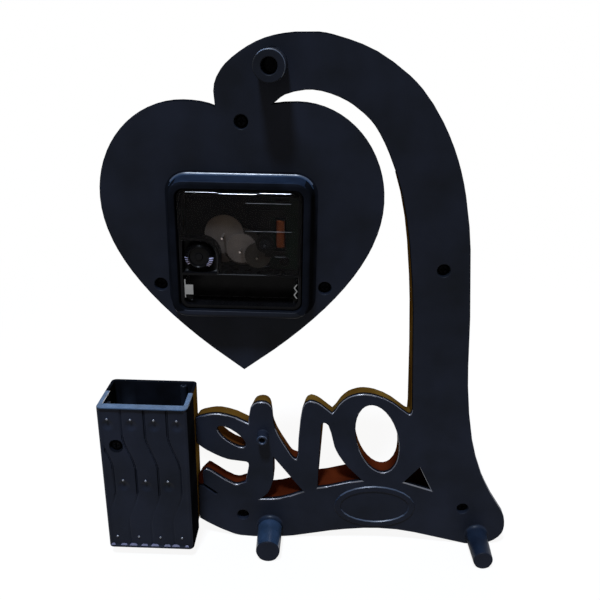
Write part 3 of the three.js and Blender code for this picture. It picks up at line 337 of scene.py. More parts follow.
def meshFromNode(nodeName, shortestMm):
    # the solid's mesh with its flats whole again and no edge shorter than the given length
    work = bmesh.new()
    work.from_mesh(frame["nodes"][nodeName].data)
    bmesh.ops.remove_doubles(work, verts=work.verts, dist=0.002 * millimetre)
    bmesh.ops.dissolve_limit(work, angle_limit=math.radians(1.0), verts=work.verts, edges=work.edges)
    bmesh.ops.dissolve_degenerate(work, dist=shortestMm * millimetre, edges=work.edges)
    return work


def catchesLight(normal):
    # the light comes from above and a little from the left of the back
    return normal.z > 0.25 or normal.x > 0.6


sharpFrom = math.radians(38)


def roundEdges(work, widthMm, wanted, paintsHighlight):
    # rounds the wanted sharp edges; the faces of the rounding that catch the light can take the second material, a
    # painted highlight
    sharp = [edge for edge in work.edges
             if len(edge.link_faces) == 2 and edge.calc_face_angle(0.0) > sharpFrom and wanted(edge)]
    made = bmesh.ops.bevel(work, geom=sharp, offset=widthMm * millimetre, segments=3, profile=0.5,
                           affect="EDGES", clamp_overlap=False, miter_outer="ARC")
    for face in made["faces"]:
        face.normal_update()
        if paintsHighlight and catchesLight(face.normal):
            face.material_index = 1
    bmesh.ops.remove_doubles(work, verts=work.verts, dist=0.001 * millimetre)


def keepInside(work, nodeName):
    low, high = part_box(nodeName)
    for vert in work.verts:
        vert.co = Vector((min(max(vert.co[k], low[k]), high[k]) for k in range(3)))


def pointing(axis):
    # turns the z axis to the given one
    return Vector((0, 0, 1)).rotation_difference(Vector(axis)).to_matrix().to_4x4()


def bridge(work, low, high):
    # faces between two rings with the same number of points, or a ring and a single point
    sides = max(len(low), len(high))
    for k in range(sides):
        after = (k + 1) % sides
        corners = [low[k % len(low)], low[after % len(low)], high[after % len(high)], high[k % len(high)]]
        corners = [corner for n, corner in enumerate(corners) if corner not in corners[:n]]
        if len(corners) > 2:
            work.faces.new(corners)


def turnedWork(profile, sides, at, axis=(0, 1, 0)):
    # a closed turned form: profile points are (radius, height along the axis) in millimetres
    work = bmesh.new()
    turns = [2 * math.pi * k / sides for k in range(sides)]
    rings = []
    for radius, height in profile:
        if radius < 1e-6:
            rings.append([work.verts.new((0, 0, height * millimetre))])
            continue
        reach = radius * millimetre
        rings.append([work.verts.new((reach * math.cos(a), reach * math.sin(a), height * millimetre)) for a in turns])
    for low, high in zip(rings, rings[1:]):
        bridge(work, low, high)
    bmesh.ops.transform(work, matrix=Matrix.Translation(at) @ pointing(axis), verts=work.verts)
    return work


def evaluatedMesh(source):
    bpy.context.view_layer.update()
    return bpy.data.meshes.new_from_object(source.evaluated_get(bpy.context.evaluated_depsgraph_get()))


def carve(piece, work, operation="DIFFERENCE"):
    # cuts a form out of a piece, or adds it, and keeps the result as the piece's mesh
    cutter = addObject("cutter", finishWork(work, "cutter"))
    cut = piece.modifiers.new("cut", "BOOLEAN")
    cut.operation = operation
    cut.solver = "EXACT"
    cut.object = cutter
    result = evaluatedMesh(piece)
    piece.modifiers.remove(cut)
    old = piece.data
    piece.data = result
    bpy.data.meshes.remove(old)
    bpy.data.objects.remove(cutter)


def smoothStep(value, low, high):
    t = min(max((value - low) / (high - low), 0.0), 1.0)
    return t * t * (3 - 2 * t)


# places on the rear cover, in millimetres; reaches are distances from a place's middle
etched, highlighted, skySheen, dimSkySheen, matt = range(5)
coverForm = {
    "rimReach": 35.5, "rimInner": 29.5, "rimLow": 28.4, "rimEnd": 9.4, "rimFillet": 1.6, "rimBevel": (30.5, 34.0),
    # the second peg takes the dimmer painted sky sheen
    "pegs": ((13.2, skySheen), (125.4, dimSkySheen)), "pegY": 6.0, "pegReach": 8.6, "pegRoot": 2.0, "pegEnd": 18.2,
    "tube": (9.4, 65.0), "tubeReach": 4.0, "tubeEnd": 5.3, "slitRight": -14.8, "slitY": (26.0, 34.2),
    "oval": (69.3, 22.6), "ovalHalf": (22.0, 13.3), "ovalRise": 0.9, "ovalReach": 23.0,
    "post": (13.9, 246.8), "postReach": 7.5, "postEdge": 5.5, "postRoot": 0.3, "postEnd": 18.3,
    "wellReach": 4.2, "skirt": -0.7, "raised": 0.85, "highlightBelow": 100.0,
}
coverScrews = {
    "cover_screw_heart_top": (0.3, 222.7), "cover_screw_heart_left": (-39.0, 146.5),
    "cover_screw_heart_right": (39.0, 146.5), "cover_screw_stem": (94.4, 156.7),
    "cover_screw_foot_right": (116.5, 22.8), "cover_screw_foot_left": (-1.6, 14.2),
}


def fromDial(x, y):
    return max(abs(x - dialX), abs(y - dialY))


# which edges of the casings are rounded
def allPlaces(edge, test):
    return all(test(*measured(vert.co)) for vert in edge.verts)


def onOval(edge):
    middle, reach = coverForm["oval"], coverForm["ovalReach"]
    return allPlaces(edge, lambda x, y, z: z > middleZ and math.dist((x, y), middle) < reach)


def facesRear(edge):
    return allPlaces(edge, lambda x, y, z: z > middleZ - 1.5 and y > 1.6) and not onOval(edge)


def onRim(edge):
    # the outer loop at the rim's tip and the loop where the rim stands on the heart
    inner, outer = coverForm["rimBevel"]
    return allPlaces(edge, lambda x, y, z: inner < fromDial(x, y) < outer and z > middleZ - 1.0)


def facesFront(edge):
    return any(face.normal.y < -0.9 for face in edge.link_faces)


def onCaseWall(edge):
    return edge.calc_length() > 0.8 * millimetre and allPlaces(edge, lambda x, y, z: fromDial(x, y) > 24.5)


def longerThan(lengthMm):
    return lambda edge: edge.calc_length() > lengthMm * millimetre


# casings: the solids with their moulded edge radii
casings = {
    "rear_cover_moulding": {
        "node": "rear_cover", "rounds": [(1.5, onRim), (0.3, onOval), (0.55, facesRear)], "shortestMm": 0.2,
        "extras": (highlightEdge, skySheenWall, dimSkySheenWall, shadedMattSide)},
    "front_shell_moulding": {"node": "front_shell", "rounds": [(0.6, facesFront)], "shortestMm": 0.9},
    "movement_case_moulding": {"node": "movement_case", "rounds": [(0.25, onCaseWall)], "extras": (glintEdge,)},
    "movement_lid_moulding": {"node": "movement_lid", "rounds": [(0.35, longerThan(1.0))], "extras": (glintEdge,)},
    "bezel_moulding": {"node": "bezel_ring", "rounds": [(0.3, longerThan(0.0))]},
    "lens_moulding": {"node": "dial_lens", "rounds": [(0.35, longerThan(0.0))]},
}
for pieceName, casing in casings.items():
    node, extras = casing["node"], casing.get("extras", ())
    work = meshFromNode(node, casing.get("shortestMm", 0.1))
    for widthMm, wanted in casing["rounds"]:
        roundEdges(work, widthMm, wanted, bool(extras))
    keepInside(work, node)
    weightNormals(addPiece(pieceName, finishWork(work, pieceName), slotOf[node], replaced=(node,), extras=extras))


def coverFinish(face):
    # which of the cover's finishes a face takes; its rounded edges come with the painted highlight, and the other
    # finishes are painted sky sheen, a dimmer painted sky sheen and painted shade
    x, y, z = measured(face.center)
    normal, rounded, form = face.normal, face.material_index == highlighted, coverForm
    if fromDial(x, y) < form["rimReach"] and z > 0.02:
        if z > form["rimEnd"] and normal.y > 0.6 and y < dialY - form["rimLow"]:
            return etched
        # the fillet at the foot of the rim takes the painted sky sheen
        if z < form["rimFillet"] and normal.z > 0.4:
            return skySheen
        return dimSkySheen if normal.z > 0.78 and fromDial(x, y) > form["rimInner"] else matt
    if z > form["skirt"]:
        for pegX, pegFinish in form["pegs"]:
            if math.dist((x, y), (pegX, form["pegY"])) < form["pegReach"]:
                if normal.z < 0.35 or z > form["pegEnd"]:
                    return etched
                return pegFinish if z > form["pegRoot"] else dimSkySheen
        if math.dist((x, y), form["tube"]) < form["tubeReach"]:
            return skySheen if z > form["tubeEnd"] and rounded else etched
        if x < form["slitRight"] and form["slitY"][0] < y < form["slitY"][1]:
            return etched
    fromOval = math.hypot(*((at - middle) / half for at, middle, half in zip((x, y), form["oval"], form["ovalHalf"])))
    if 0.0 < z < form["ovalRise"] and fromOval < 1.0:
        return (skySheen if normal.z > 0.55 else dimSkySheen) if rounded else etched
    if any(math.dist((x, y), screwAt) < form["wellReach"] for screwAt in coverScrews.values()):
        return etched
    fromPost = math.dist((x, y), form["post"])
    if fromPost < form["postReach"] and z > form["postRoot"]:
        onEdge = fromPost > form["postEdge"] and z > form["postEnd"] and 0.2 < normal.y < 0.9
        return skySheen if onEdge and normal.z > 0.9 * normal.x else etched
    # faces turned up on the raised parts take the painted sky sheen
    if z > form["raised"] and normal.z > 0.35:
        return skySheen
    # rounded edges this high, and the cut sides under the cover's face, take the painted shade
    if y > form["highlightBelow"] and rounded:
        return matt
    if face.material_index == etched and abs(normal.y) < 0.3 and z < 0.0:
        return matt
    return face.material_index


for face in bpy.data.objects["rear_cover_moulding"].data.polygons:
    face.material_index = coverFinish(face)
shellMesh = bpy.data.objects["front_shell_moulding"].data
# all but the front faces take the brown with painted light and painted shade
shellMesh.materials.append(brownWallLitAndShaded)
for face in shellMesh.polygons:
    face.material_index = int(face.normal.y > -0.5)
print("casings:", len(casings))

# pen box: two U-shaped halves with wavy planks pressed into their broad faces; the places where the planks swing and
# their grooves fade are (height, length below it)
penBox = {
    "left": -70.3, "right": -25.7, "top": 89.2, "corner": 2.5, "cornerSteps": 6, "split": 1.55, "gap": 0.15,
    "plankSink": 0.9, "plankPitch": 11.35, "firstGroove": -69.95, "grooveWidth": 1.5, "grooveDepth": 0.65,
    "crown": 0.15, "wave": 5.3, "waveOut": (74, 21), "waveBack": (40, 20),
    "faint": 0.8, "faintAt": (42, 14), "deeper": 0.45, "deeperAt": (26, 8),
    "cell": 0.4, "rim": 0.35, "band": (0.5, 1.6), "lip": (0.6, 1.6), "floor": 2.5, "rimDepth": 0.6, "insideFrom": 12.0,
    "rivets": [(82.6, (-65.3, -53.8, -42.4, -31.2)), (47.4, (-59.9, -48.5, -37.2)),
               (12.5, (-65.4, -54.2, -42.9, -31.6))],
    "rivetRadius": 0.68, "rivetHeight": 0.75, "rivetBase": 0.1, "rivetRoot": -0.6,
    "dishCore": 0.6, "dishRadius": 3.4, "dishDrop": 3.5, "dishAbove": 20.0,
}
# the screw that holds the halves together: turned profiles (radius, depth), added or cut in order
penScrew = {
    "x": -62.0, "y": 67.3, "seat": 15.0, "wellReach": 3.6,
    "rearCuts": [("UNION", 32, [(0, 13.2), (3.5, 13.2), (3.9, 13.6), (3.9, 17.2), (0, 17.2)]),
                 ("DIFFERENCE", 32, [(0, 15.0), (3.1, 15.0), (3.1, 17.6), (3.5, 18.1), (3.5, 20.0), (0, 20.0)]),
                 ("DIFFERENCE", 24, [(0, 12.0), (1.6, 12.0), (1.6, 16.0), (0, 16.0)])],
    "frontCuts": [("UNION", 32, [(0, -9.8), (3.9, -9.8), (3.9, 12.5), (3.5, 12.9), (0, 12.9)]),
                  ("DIFFERENCE", 24, [(0, 6.0), (1.6, 6.0), (1.6, 14.0), (0, 14.0)])],
}
penHalves = {
    # the rear half's rim takes the painted sky sheen, its sides the painted shade, its rivets and ledges painted
    # highlights
    "rear": {"slot": "black_plastic", "outward": 1, "face": 18.9, "bottom": 5.8, "wall": 2.5, "broad": 4.6,
             "dish": 0.9, "rivetLift": 0.0, "extras": (skySheenLip, shadedMattSide), "rivetLook": highlightEdge,
             "ledgeLook": ledgeHighlight},
    # the front half's sides take the brown with painted light
    "front": {"slot": "brown_plastic", "outward": -1, "face": -11.3, "bottom": 10.8, "wall": 1.6, "broad": 1.9,
              "dish": 0.2, "rivetLift": 5.0, "extras": (shadedMattSide, litBrownSide), "rivetLook": None, "ledgeLook": None},
}


def below(y, place):
    height, length = place
    return smoothStep(height - y, 0, length)


def plankWave(y):
    return penBox["wave"] * (below(y, penBox["waveOut"]) - below(y, penBox["waveBack"]))


def plankDepth(x, y, half):
    # how far the broad face lies under the flat of the solid; a plain lip runs along the top and a band along the foot
    pitch = penBox["plankPitch"]
    along = (x - penBox["firstGroove"] - plankWave(y)) / pitch
    fromGroove = abs(along - round(along)) * pitch
    fade = 1.0 - penBox["faint"] * below(y, penBox["faintAt"]) * (1 - penBox["deeper"] * below(y, penBox["deeperAt"]))
    groove = penBox["grooveDepth"] * fade * (1 - smoothStep(fromGroove, 0, penBox["grooveWidth"] / 2))
    crown = penBox["crown"] * (1 - smoothStep(fromGroove, 0, pitch / 2))
    dish = 0.0
    for rivetY, rivetXs in penBox["rivets"]:
        for rivetX in rivetXs if rivetY > penBox["dishAbove"] else ():
            away = math.hypot(x - rivetX, y - rivetY + penBox["dishDrop"])
            dish += half["dish"] * (1 - smoothStep(away, penBox["dishCore"], penBox["dishRadius"]))
    shown = smoothStep(y - half["bottom"], *penBox["band"]) * smoothStep(penBox["top"] - y, *penBox["lip"])
    return (penBox["plankSink"] + groove + crown + dish) * shown


def penPath(half, sideInset, broadInset):
    # the U in plan, from one split end round the broad face to the other: x, z and outward direction
    outward = half["outward"]
    split = penBox["split"] + outward * penBox["gap"]
    radius = max(penBox["corner"] - sideInset, 0.4)
    left, right = penBox["left"] + sideInset, penBox["right"] - sideInset
    broad = half["face"] - outward * broadInset
    turns = [math.pi / 2 * k / penBox["cornerSteps"] for k in range(penBox["cornerSteps"] + 1)]

    def corner(edge, side, angles):
        return [(edge - side * radius * (1 - math.cos(a)), broad - outward * radius * (1 - math.sin(a)),
                 (side * math.cos(a), outward * math.sin(a))) for a in angles]

    count = round((penBox["right"] - penBox["left"] - 2 * penBox["corner"]) / penBox["cell"])
    flat = [(left + radius + (right - left - 2 * radius) * k / count, broad, (0, outward)) for k in range(1, count)]
    return ([(left, split, (-1, 0))] + corner(left, -1, turns) + flat + corner(right, 1, turns[::-1])
            + [(right, split, (1, 0))])


def penHalfWork(half):
    top, rim, bottom, wall, broad = penBox["top"], penBox["rim"], half["bottom"], half["wall"], half["broad"]
    work = bmesh.new()
    rows = []

    def addRow(sideInset, broadInset, y, planks=False):
        row = []
        for x, z, normal in penPath(half, sideInset, broadInset):
            depth = plankDepth(x, y, half) * abs(normal[1]) ** 6 if planks else 0.0
            row.append(work.verts.new(seen(x - normal[0] * depth, y, z - normal[1] * depth)))
        rows.append(row)

    # the rims are rounded in one step outside and a wider one inside
    outerStep, innerStep = rim * 0.3, rim * 0.8
    addRow(rim, rim, bottom)
    addRow(outerStep, outerStep, bottom + outerStep)
    low, high = bottom + rim, top - rim
    count = round((high - low) / penBox["cell"])
    for k in range(count + 1):
        addRow(0.0, 0.0, low + (high - low) * k / count, True)
    addRow(outerStep, outerStep, top - outerStep)
    addRow(rim, rim, top)
    addRow(wall - innerStep, broad - innerStep, top)
    addRow(wall, broad, top - innerStep)
    addRow(wall, broad, bottom + penBox["floor"])
    for lower, upper in zip(rows, rows[1:]):
        for corners in zip(lower, lower[1:], upper[1:], upper):
            work.faces.new(corners)
    work.faces.new(rows[0])
    work.faces.new(rows[-1])
    for end in (0, -1):
        work.faces.new([row[end] for row in rows])
    work.faces.new((rows[0][0], rows[0][-1], rows[-1][-1], rows[-1][0]))
    return work


def penFinish(face, half):
    # rear half: 0 etched, 1 rim with the painted sky sheen, 2 side and well with the painted shade; front half: 0
    # brown, 1 black inside and on the rim, 2 olive side with painted light
    x, y, z = measured(face.center)
    onRim = face.normal.z > 0.3 and y > penBox["top"] - penBox["rimDepth"]
    if half["outward"] > 0:
        inWell = math.dist((x, y), (penScrew["x"], penScrew["y"])) < penScrew["wellReach"]
        return 1 if onRim else 2 if abs(face.normal.x) > 0.7 or inWell else 0
    depth = 0.1 + half["wall"] - penBox["rim"]
    between = penBox["left"] + depth < x < penBox["right"] - depth
    inside = between and z > half["face"] + depth + 0.3 and y > penBox["insideFrom"]
    return 1 if onRim or inside else 2 if abs(face.normal.x) > 0.5 else 0


for side, half in penHalves.items():
    pieceName = f"pen_box_{side}_moulding"
    mesh = finishWork(penHalfWork(half), pieceName)
    piece = addPiece(pieceName, mesh, half["slot"], replaced=(f"pen_box_{side}",), extras=half["extras"])
    for operation, sides, profile in penScrew[side + "Cuts"]:
        carve(piece, turnedWork(profile, sides, seen(penScrew["x"], penScrew["y"], 0)), operation)
    for face in piece.data.polygons:
        face.material_index = penFinish(face, half)
    weightNormals(piece)

# rivets on the planks: low domes
# the rear rivets take the painted highlight
for side, half in penHalves.items():
    radius, height, base, root = (penBox["rivet" + key] for key in ("Radius", "Height", "Base", "Root"))
    profile = [(0, root), (radius, root), (radius, base)]
    profile += [(radius * math.cos(a), base + (height - base) * math.sin(a)) for a in (0.25, 0.5, 0.75, 1.0, 1.25)]
    profile += [(0, height)]
    surface = half["face"] - half["outward"] * penBox["plankSink"]
    domes = []
    for rivetY, rivetXs in penBox["rivets"]:
        lift = half["rivetLift"] if rivetY < penBox["dishAbove"] else 0.0
        for rivetX in rivetXs:
            domes.append(turnedWork(profile, 20, seen(rivetX, rivetY + lift, surface), (0, half["outward"], 0)))
    addPiece("pen_rivets_" + side, joined(domes, "pen_rivets_" + side), half["slot"], look=half["rivetLook"])

# half-moon ledges along the foot of the planks, each a flat sloping to meet the light
ledges = {"xs": (-68.0, -62.3, -57.3, -51.5, -46.0, -39.5, -35.0, -29.2),
          "widths": (2.2, 3.4, 4.0, 3.4, 4.0, 3.4, 4.0, 1.8),
          "slope": 1.25, "up": 0.62, "inward": 0.78, "foot": 1.3, "back": 0.75, "tip": 0.1, "steps": 12}


def ledgeWork(x, width, half):
    outward, foot, slope = half["outward"], half["bottom"] + ledges["foot"], ledges["slope"]
    back = half["face"] - outward * (penBox["plankSink"] + ledges["back"])
    tip = half["face"] - outward * ledges["tip"]
    work = bmesh.new()
    rearRow, frontRow = [], []
    for k in range(ledges["steps"] + 1):
        turn = math.pi * k / ledges["steps"]
        px, py = x + width / 2 * math.cos(turn), foot + ledges["up"] * slope * math.sin(turn)
        rearRow.append(work.verts.new(seen(px, py, back)))
        frontRow.append(work.verts.new(seen(px, py, tip - outward * ledges["inward"] * slope * math.sin(turn))))
    for corners in zip(rearRow, rearRow[1:], frontRow[1:], frontRow):
        work.faces.new(corners)
    work.faces.new(rearRow)
    work.faces.new(frontRow)
    work.faces.new((rearRow[0], rearRow[-1], frontRow[-1], frontRow[0]))
    return work


# the rear ledges take the painted highlight
for side, half in penHalves.items():
    works = [ledgeWork(x, width, half) for x, width in zip(ledges["xs"], ledges["widths"])]
    mesh = joined(works, "plank_ledges_" + side, 30)
    addPiece("plank_ledges_" + side, mesh, half["slot"], look=half["ledgeLook"])

# upright hollow posts in two corners of the box, their ends just under the rim
posts = {"rear": {"x": -67.2, "z": 8.4, "radius": 1.25, "top": 86.6, "low": 8.2},
         "front": {"x": -32.4, "z": -8.3, "radius": 1.7, "top": 88.2, "low": 13.2}}
for side, post in posts.items():
    radius, top, low = post["radius"], post["top"], post["low"]
    hollow, edge, bottom = radius * 0.5, 0.3, top - 3
    profile = [(0, low), (radius, low), (radius, top - edge), (radius - edge, top), (hollow, top), (hollow, bottom),
               (0, bottom)]
    work = turnedWork(profile, 24, seen(post["x"], 0, post["z"]), (0, 0, 1))
    addPiece("pen_corner_post_" + side, finishWork(work, "pen_corner_post_" + side), "black_plastic")
print("pen box ready")

# screws: pan heads with a cross recess
screwForm = {"head": 2.7, "height": 1.9, "edge": 0.5, "dome": 0.35, "lift": 0.3, "shank": 1.25, "tip": 1.6,
             "tipRadius": 0.5, "pitch": 0.9, "crest": 0.28, "plain": 2.2, "reach": 1.7, "half": 0.32, "depth": 1.0,
             "domeTurns": (0.4, 0.8, 1.2, 1.5708), "coverSeat": -4.2, "coverLength": 4.0, "penLength": 8.0,
             "sideLength": 9.0, "sideInset": 2.5, "sideDepth": -5.0, "sideHeights": {"upper": 66.5, "lower": 20.0}}


def addScrew(node, at, axis, length):
    head, height, edge, lift = (screwForm[key] for key in ("head", "height", "edge", "lift"))
    shank, dome, pitch = screwForm["shank"], screwForm["dome"], screwForm["pitch"]
    end = lift - length
    profile = [(0, end), (screwForm["tipRadius"], end), (shank, end + screwForm["tip"])]
    for k in range(int((length - screwForm["plain"]) / pitch)):
        start = end + screwForm["tip"] + pitch * k
        profile += [(shank, start + 0.1), (shank + screwForm["crest"], start + 0.4), (shank, start + 0.7)]
    profile += [(shank, lift), (head, lift), (head, lift + edge)]
    profile += [(head * math.cos(a) * dome + head * (1 - dome), lift + edge + (height - edge) * math.sin(a))
                for a in screwForm["domeTurns"]]
    profile += [(0, lift + height)]
    name = node + "_head"
    piece = addPiece(name, finishWork(turnedWork(profile, 32, at, axis), name), "dark_screw", replaced=(node,))
    reach, half, depth = (screwForm[key] * millimetre for key in ("reach", "half", "depth"))
    place = Matrix.Translation(at) @ pointing(axis) @ Matrix.Translation((0, 0, (lift + height) * millimetre))
    for size in ((half, reach, depth), (reach, half, depth)):
        slot = bmesh.new()
        bmesh.ops.create_cube(slot, size=2.0)
        bmesh.ops.transform(slot, matrix=place @ Matrix.Diagonal((*size, 1.0)), verts=slot.verts)
        carve(piece, slot)


for screwName, (x, y) in coverScrews.items():
    addScrew(screwName, seen(x, y, screwForm["coverSeat"]), (0, 1, 0), screwForm["coverLength"])
addScrew("pen_box_rear_screw", seen(penScrew["x"], penScrew["y"], penScrew["seat"]), (0, 1, 0), screwForm["penLength"])
for level, y in screwForm["sideHeights"].items():
    at = seen(penBox["right"] - screwForm["sideInset"], y, screwForm["sideDepth"])
    addScrew("pen_box_side_screw_" + level, at, (1, 0, 0), screwForm["sideLength"])
print("screws ready")

# dial print: plain numbers, a minute track and a ring; a tick is (length, half of its width)
dialPrint = {"face": -9.7, "thick": 0.06, "numberRadius": 30.5, "numberSize": 8.2, "trackOuter": 37.2,
             "hourTick": (2.4, 0.42), "minuteTick": (1.3, 0.16), "ring": (37.7, 38.0), "ringSides": 96}


def dialPoint(angle, radius, lift):
    # clockwise from twelve as seen from the front
    return seen(dialX - radius * math.sin(angle), dialY + radius * math.cos(angle), dialPrint["face"] - lift)


thick, trackOuter = dialPrint["thick"], dialPrint["trackOuter"]
printWorks = []
for minute in range(60):
    angle = math.radians(6 * minute)
    length, half = dialPrint["minuteTick" if minute % 5 else "hourTick"]
    trackInner = trackOuter - length
    corners = ((-half, trackOuter), (half, trackOuter), (half, trackInner), (-half, trackInner))
    work = bmesh.new()
    lower, upper = ([work.verts.new(dialPoint(angle + aside / radius, radius, lift)) for aside, radius in corners]
                    for lift in (0.0, thick))
    work.faces.new(lower)
    work.faces.new(upper)
    bridge(work, lower, upper)
    printWorks.append(work)
inner, outer = dialPrint["ring"]
printWorks.append(turnedWork([(inner, 0.0), (outer, 0.0), (outer, thick), (inner, thick), (inner, 0.0)],
                             dialPrint["ringSides"], seen(dialX, dialY, dialPrint["face"]), (0, -1, 0)))
for hour in range(1, 13):
    letters = bpy.data.curves.new("number", "FONT")
    letters.body = str(hour)
    letters.size = dialPrint["numberSize"] * millimetre
    letters.extrude = thick / 2 * millimetre
    letters.align_x = "CENTER"
    letters.align_y = "CENTER"
    holder = addObject("number", letters)
    outline = evaluatedMesh(holder)
    spot = dialPoint(math.radians(30 * hour), dialPrint["numberRadius"], thick / 2)
    outline.transform(Matrix.Translation(spot) @ Matrix.Rotation(math.pi / 2, 4, "X"))
    work = bmesh.new()
    work.from_mesh(outline)
    bmesh.ops.remove_doubles(work, verts=work.verts, dist=0.0001 * millimetre)
    printWorks.append(work)
    bpy.data.objects.remove(holder)
addPiece("dial_print", joined(printWorks, "dial_print"), "hand_paint")
print("dial ready")

# lines moulded on the smoky lid: ridges, and the bead along its top edge, set back in the middle; each line is
# (start, end, height) from the dial's middle, and the flats on the lines, tilted by up and out, meet the light
lidLines = {
    "rear": 9.9, "sunk": 0.1, "up": 0.62, "out": 0.78,
    "lid_ridges": {"flat": 0.16, "rise": 0.0, "look": finishes["case_plastic"],
                   "lines": [(3.0, 23.0, 22.7), (2.6, 23.2, 10.0), (16.0, 21.1, -1.7), (-9.9, 12.0, -10.6)]},
    "lid_beads": {"flat": 0.11, "rise": 0.6, "look": glintEdge,
                  "lines": [(-23.5, -9.7, 27.35), (-8.8, 7.9, 26.85), (9.3, 23.0, 27.35)]},
}


def lineWork(start, end, y, flat, rise):
    # a straight bar along x
    low, shoulder = lidLines["rear"] - lidLines["sunk"], lidLines["rear"] + rise
    foot = dialY + y
    far = foot + lidLines["out"] * flat
    profile = [(foot, low), (foot, shoulder + lidLines["up"] * flat), (far, shoulder), (far, low)]
    work = bmesh.new()
    ends = [[work.verts.new(seen(dialX + x, py, pz)) for py, pz in profile] for x in (start, end)]
    for ring in ends:
        work.faces.new(ring)
    bridge(work, *ends)
    return work


for pieceName in ("lid_ridges", "lid_beads"):
    group = lidLines[pieceName]
    works = [lineWork(*line, group["flat"], group["rise"]) for line in group["lines"]]
    addPiece(pieceName, joined(works, pieceName, 20), "smoky_lid", look=group["look"])

# setting knob: a knurled grip with a dished face on a stem, and its pinion
knobForm = {"x": -19.184, "y": -3.497, "teeth": 36, "tip": 6.75, "root": 6.35, "from": 3.9, "to": 7.6, "chamfer": 1.5,
            "dish": 4.4, "dishEdge": 0.3, "dishFloor": 6.4, "hub": 1.9, "hubRise": 0.5, "stem": 1.5,
            "pinionTeeth": 20, "pinionTip": 3.95, "pinionRoot": 3.4, "pinionLow": -2.2, "pinionHigh": -1.2,
            "reflectionReach": 5.7, "reflectionBelow": (-0.3, 4.0), "reflectionAside": 4.0}
knobX, knobY = dialX + knobForm["x"], dialY + knobForm["y"]


def toothedWork(teeth, tip, root, rows):
    # a toothed form round the knob's axis; a row is (height, how far inside the teeth, share of the tooth kept)
    work = bmesh.new()
    samples = 4 * teeth
    rings = []
    for height, inset, share in rows:
        ring = []
        for k in range(samples):
            outer = tip if k % 4 in (1, 2) else root
            radius = root + (outer - root) * share - inset
            angle = 2 * math.pi * k / samples
            x, y = knobX + radius * math.cos(angle), knobY + radius * math.sin(angle)
            ring.append(work.verts.new(seen(x, y, height)))
        rings.append(ring)
    for low, high in zip(rings, rings[1:]):
        bridge(work, low, high)
    work.faces.new(rings[0])
    work.faces.new(rings[-1])
    return work


root, low, top, chamfer = (knobForm[key] for key in ("root", "from", "to", "chamfer"))
edge, floor, hub = (knobForm[key] for key in ("dishEdge", "dishFloor", "hub"))
stemInset, dishInset, hubTop = root - knobForm["stem"], root - knobForm["dish"], floor + knobForm["hubRise"]
gripRows = [(knobForm["pinionHigh"] - 0.2, stemInset, 0.0), (low, stemInset, 0.0), (low, 0.0, 1.0),
            (top - chamfer, 0.0, 1.0), (top, chamfer, 0.6), (top, dishInset - edge, 0.0), (top - edge, dishInset, 0.0),
            (floor, dishInset + 0.2, 0.0), (floor, root - hub, 0.0), (hubTop, root - hub + edge, 0.0),
            (hubTop, root - edge, 0.0)]
pinionRows = [(knobForm["pinionLow"], 0.0, 1.0), (knobForm["pinionHigh"], 0.0, 1.0)]
works = [toothedWork(knobForm["teeth"], knobForm["tip"], root, gripRows),
         toothedWork(knobForm["pinionTeeth"], knobForm["pinionTip"], knobForm["pinionRoot"], pinionRows)]
knobMesh = joined(works, "setting_knob_knurled", 30)
addPiece("setting_knob_knurled", knobMesh, "black_plastic", "knob", ("setting_knob",), (knurlReflection,),
         finishes["case_plastic"])
# the pale dashes on the knurl's crests left and right are painted reflections
for face in knobMesh.polygons:
    x, y, z = measured(face.center)
    aside, under = x - knobX, knobY - y
    sample = math.atan2(-under, aside) / (2 * math.pi) * 4 * knobForm["teeth"]
    onChamfer = 0.2 < face.normal.y < 0.95 and math.hypot(aside, under) > knobForm["reflectionReach"]
    inReflection = knobForm["reflectionBelow"][0] < under < knobForm["reflectionBelow"][1] and abs(aside) > knobForm["reflectionAside"]
    face.material_index = int(onChamfer and inReflection and 1.0 <= sample % 4 < 3.0)

# coil: close turns of wire on the bobbin, rounder than the sleeve they fill
coilForm = {"x": 18.3, "z": 5.55, "low": 2.0, "high": 14.4, "half": 2.35, "deep": 1.75, "power": 2.7,
            "boreHalf": 1.8, "boreDeep": 1.35, "borePower": 12.0, "pitch": 0.36, "ripple": 0.09, "around": 28,
            "turn": ((0.0, 1.0), (0.25, 0.2), (0.5, 0.0), (0.75, 0.2))}


def coilRing(work, y, half, deep, power):
    ring = []
    for k in range(coilForm["around"]):
        angle = 2 * math.pi * (k + 0.5) / coilForm["around"]
        c, s = math.cos(angle), math.sin(angle)
        reach = (abs(c) ** power + abs(s) ** power) ** (-1 / power)
        place = seen(dialX + coilForm["x"] + half * reach * c, dialY + y, coilForm["z"] + deep * reach * s)
        ring.append(work.verts.new(place))
    return ring


def wireRing(work, y, inset):
    return coilRing(work, y, coilForm["half"] - inset, coilForm["deep"] - inset, coilForm["power"])


def boreRing(work, y):
    return coilRing(work, y, coilForm["boreHalf"], coilForm["boreDeep"], coilForm["borePower"])


work = bmesh.new()
low, high, ripple = coilForm["low"], coilForm["high"], coilForm["ripple"]
turnCount = round((high - low) / coilForm["pitch"])
pitch = (high - low) / turnCount
rings = [boreRing(work, low)]
for k in range(turnCount):
    rings += [wireRing(work, low + pitch * (k + share), ripple * dip) for share, dip in coilForm["turn"]]
rings += [wireRing(work, high, ripple), boreRing(work, high)]
for ring, after in zip(rings, rings[1:] + rings[:1]):
    bridge(work, ring, after)
addPiece("coil_turns", finishWork(work, "coil_turns", 60), "copper", replaced=("coil_winding",))
print("movement ready")

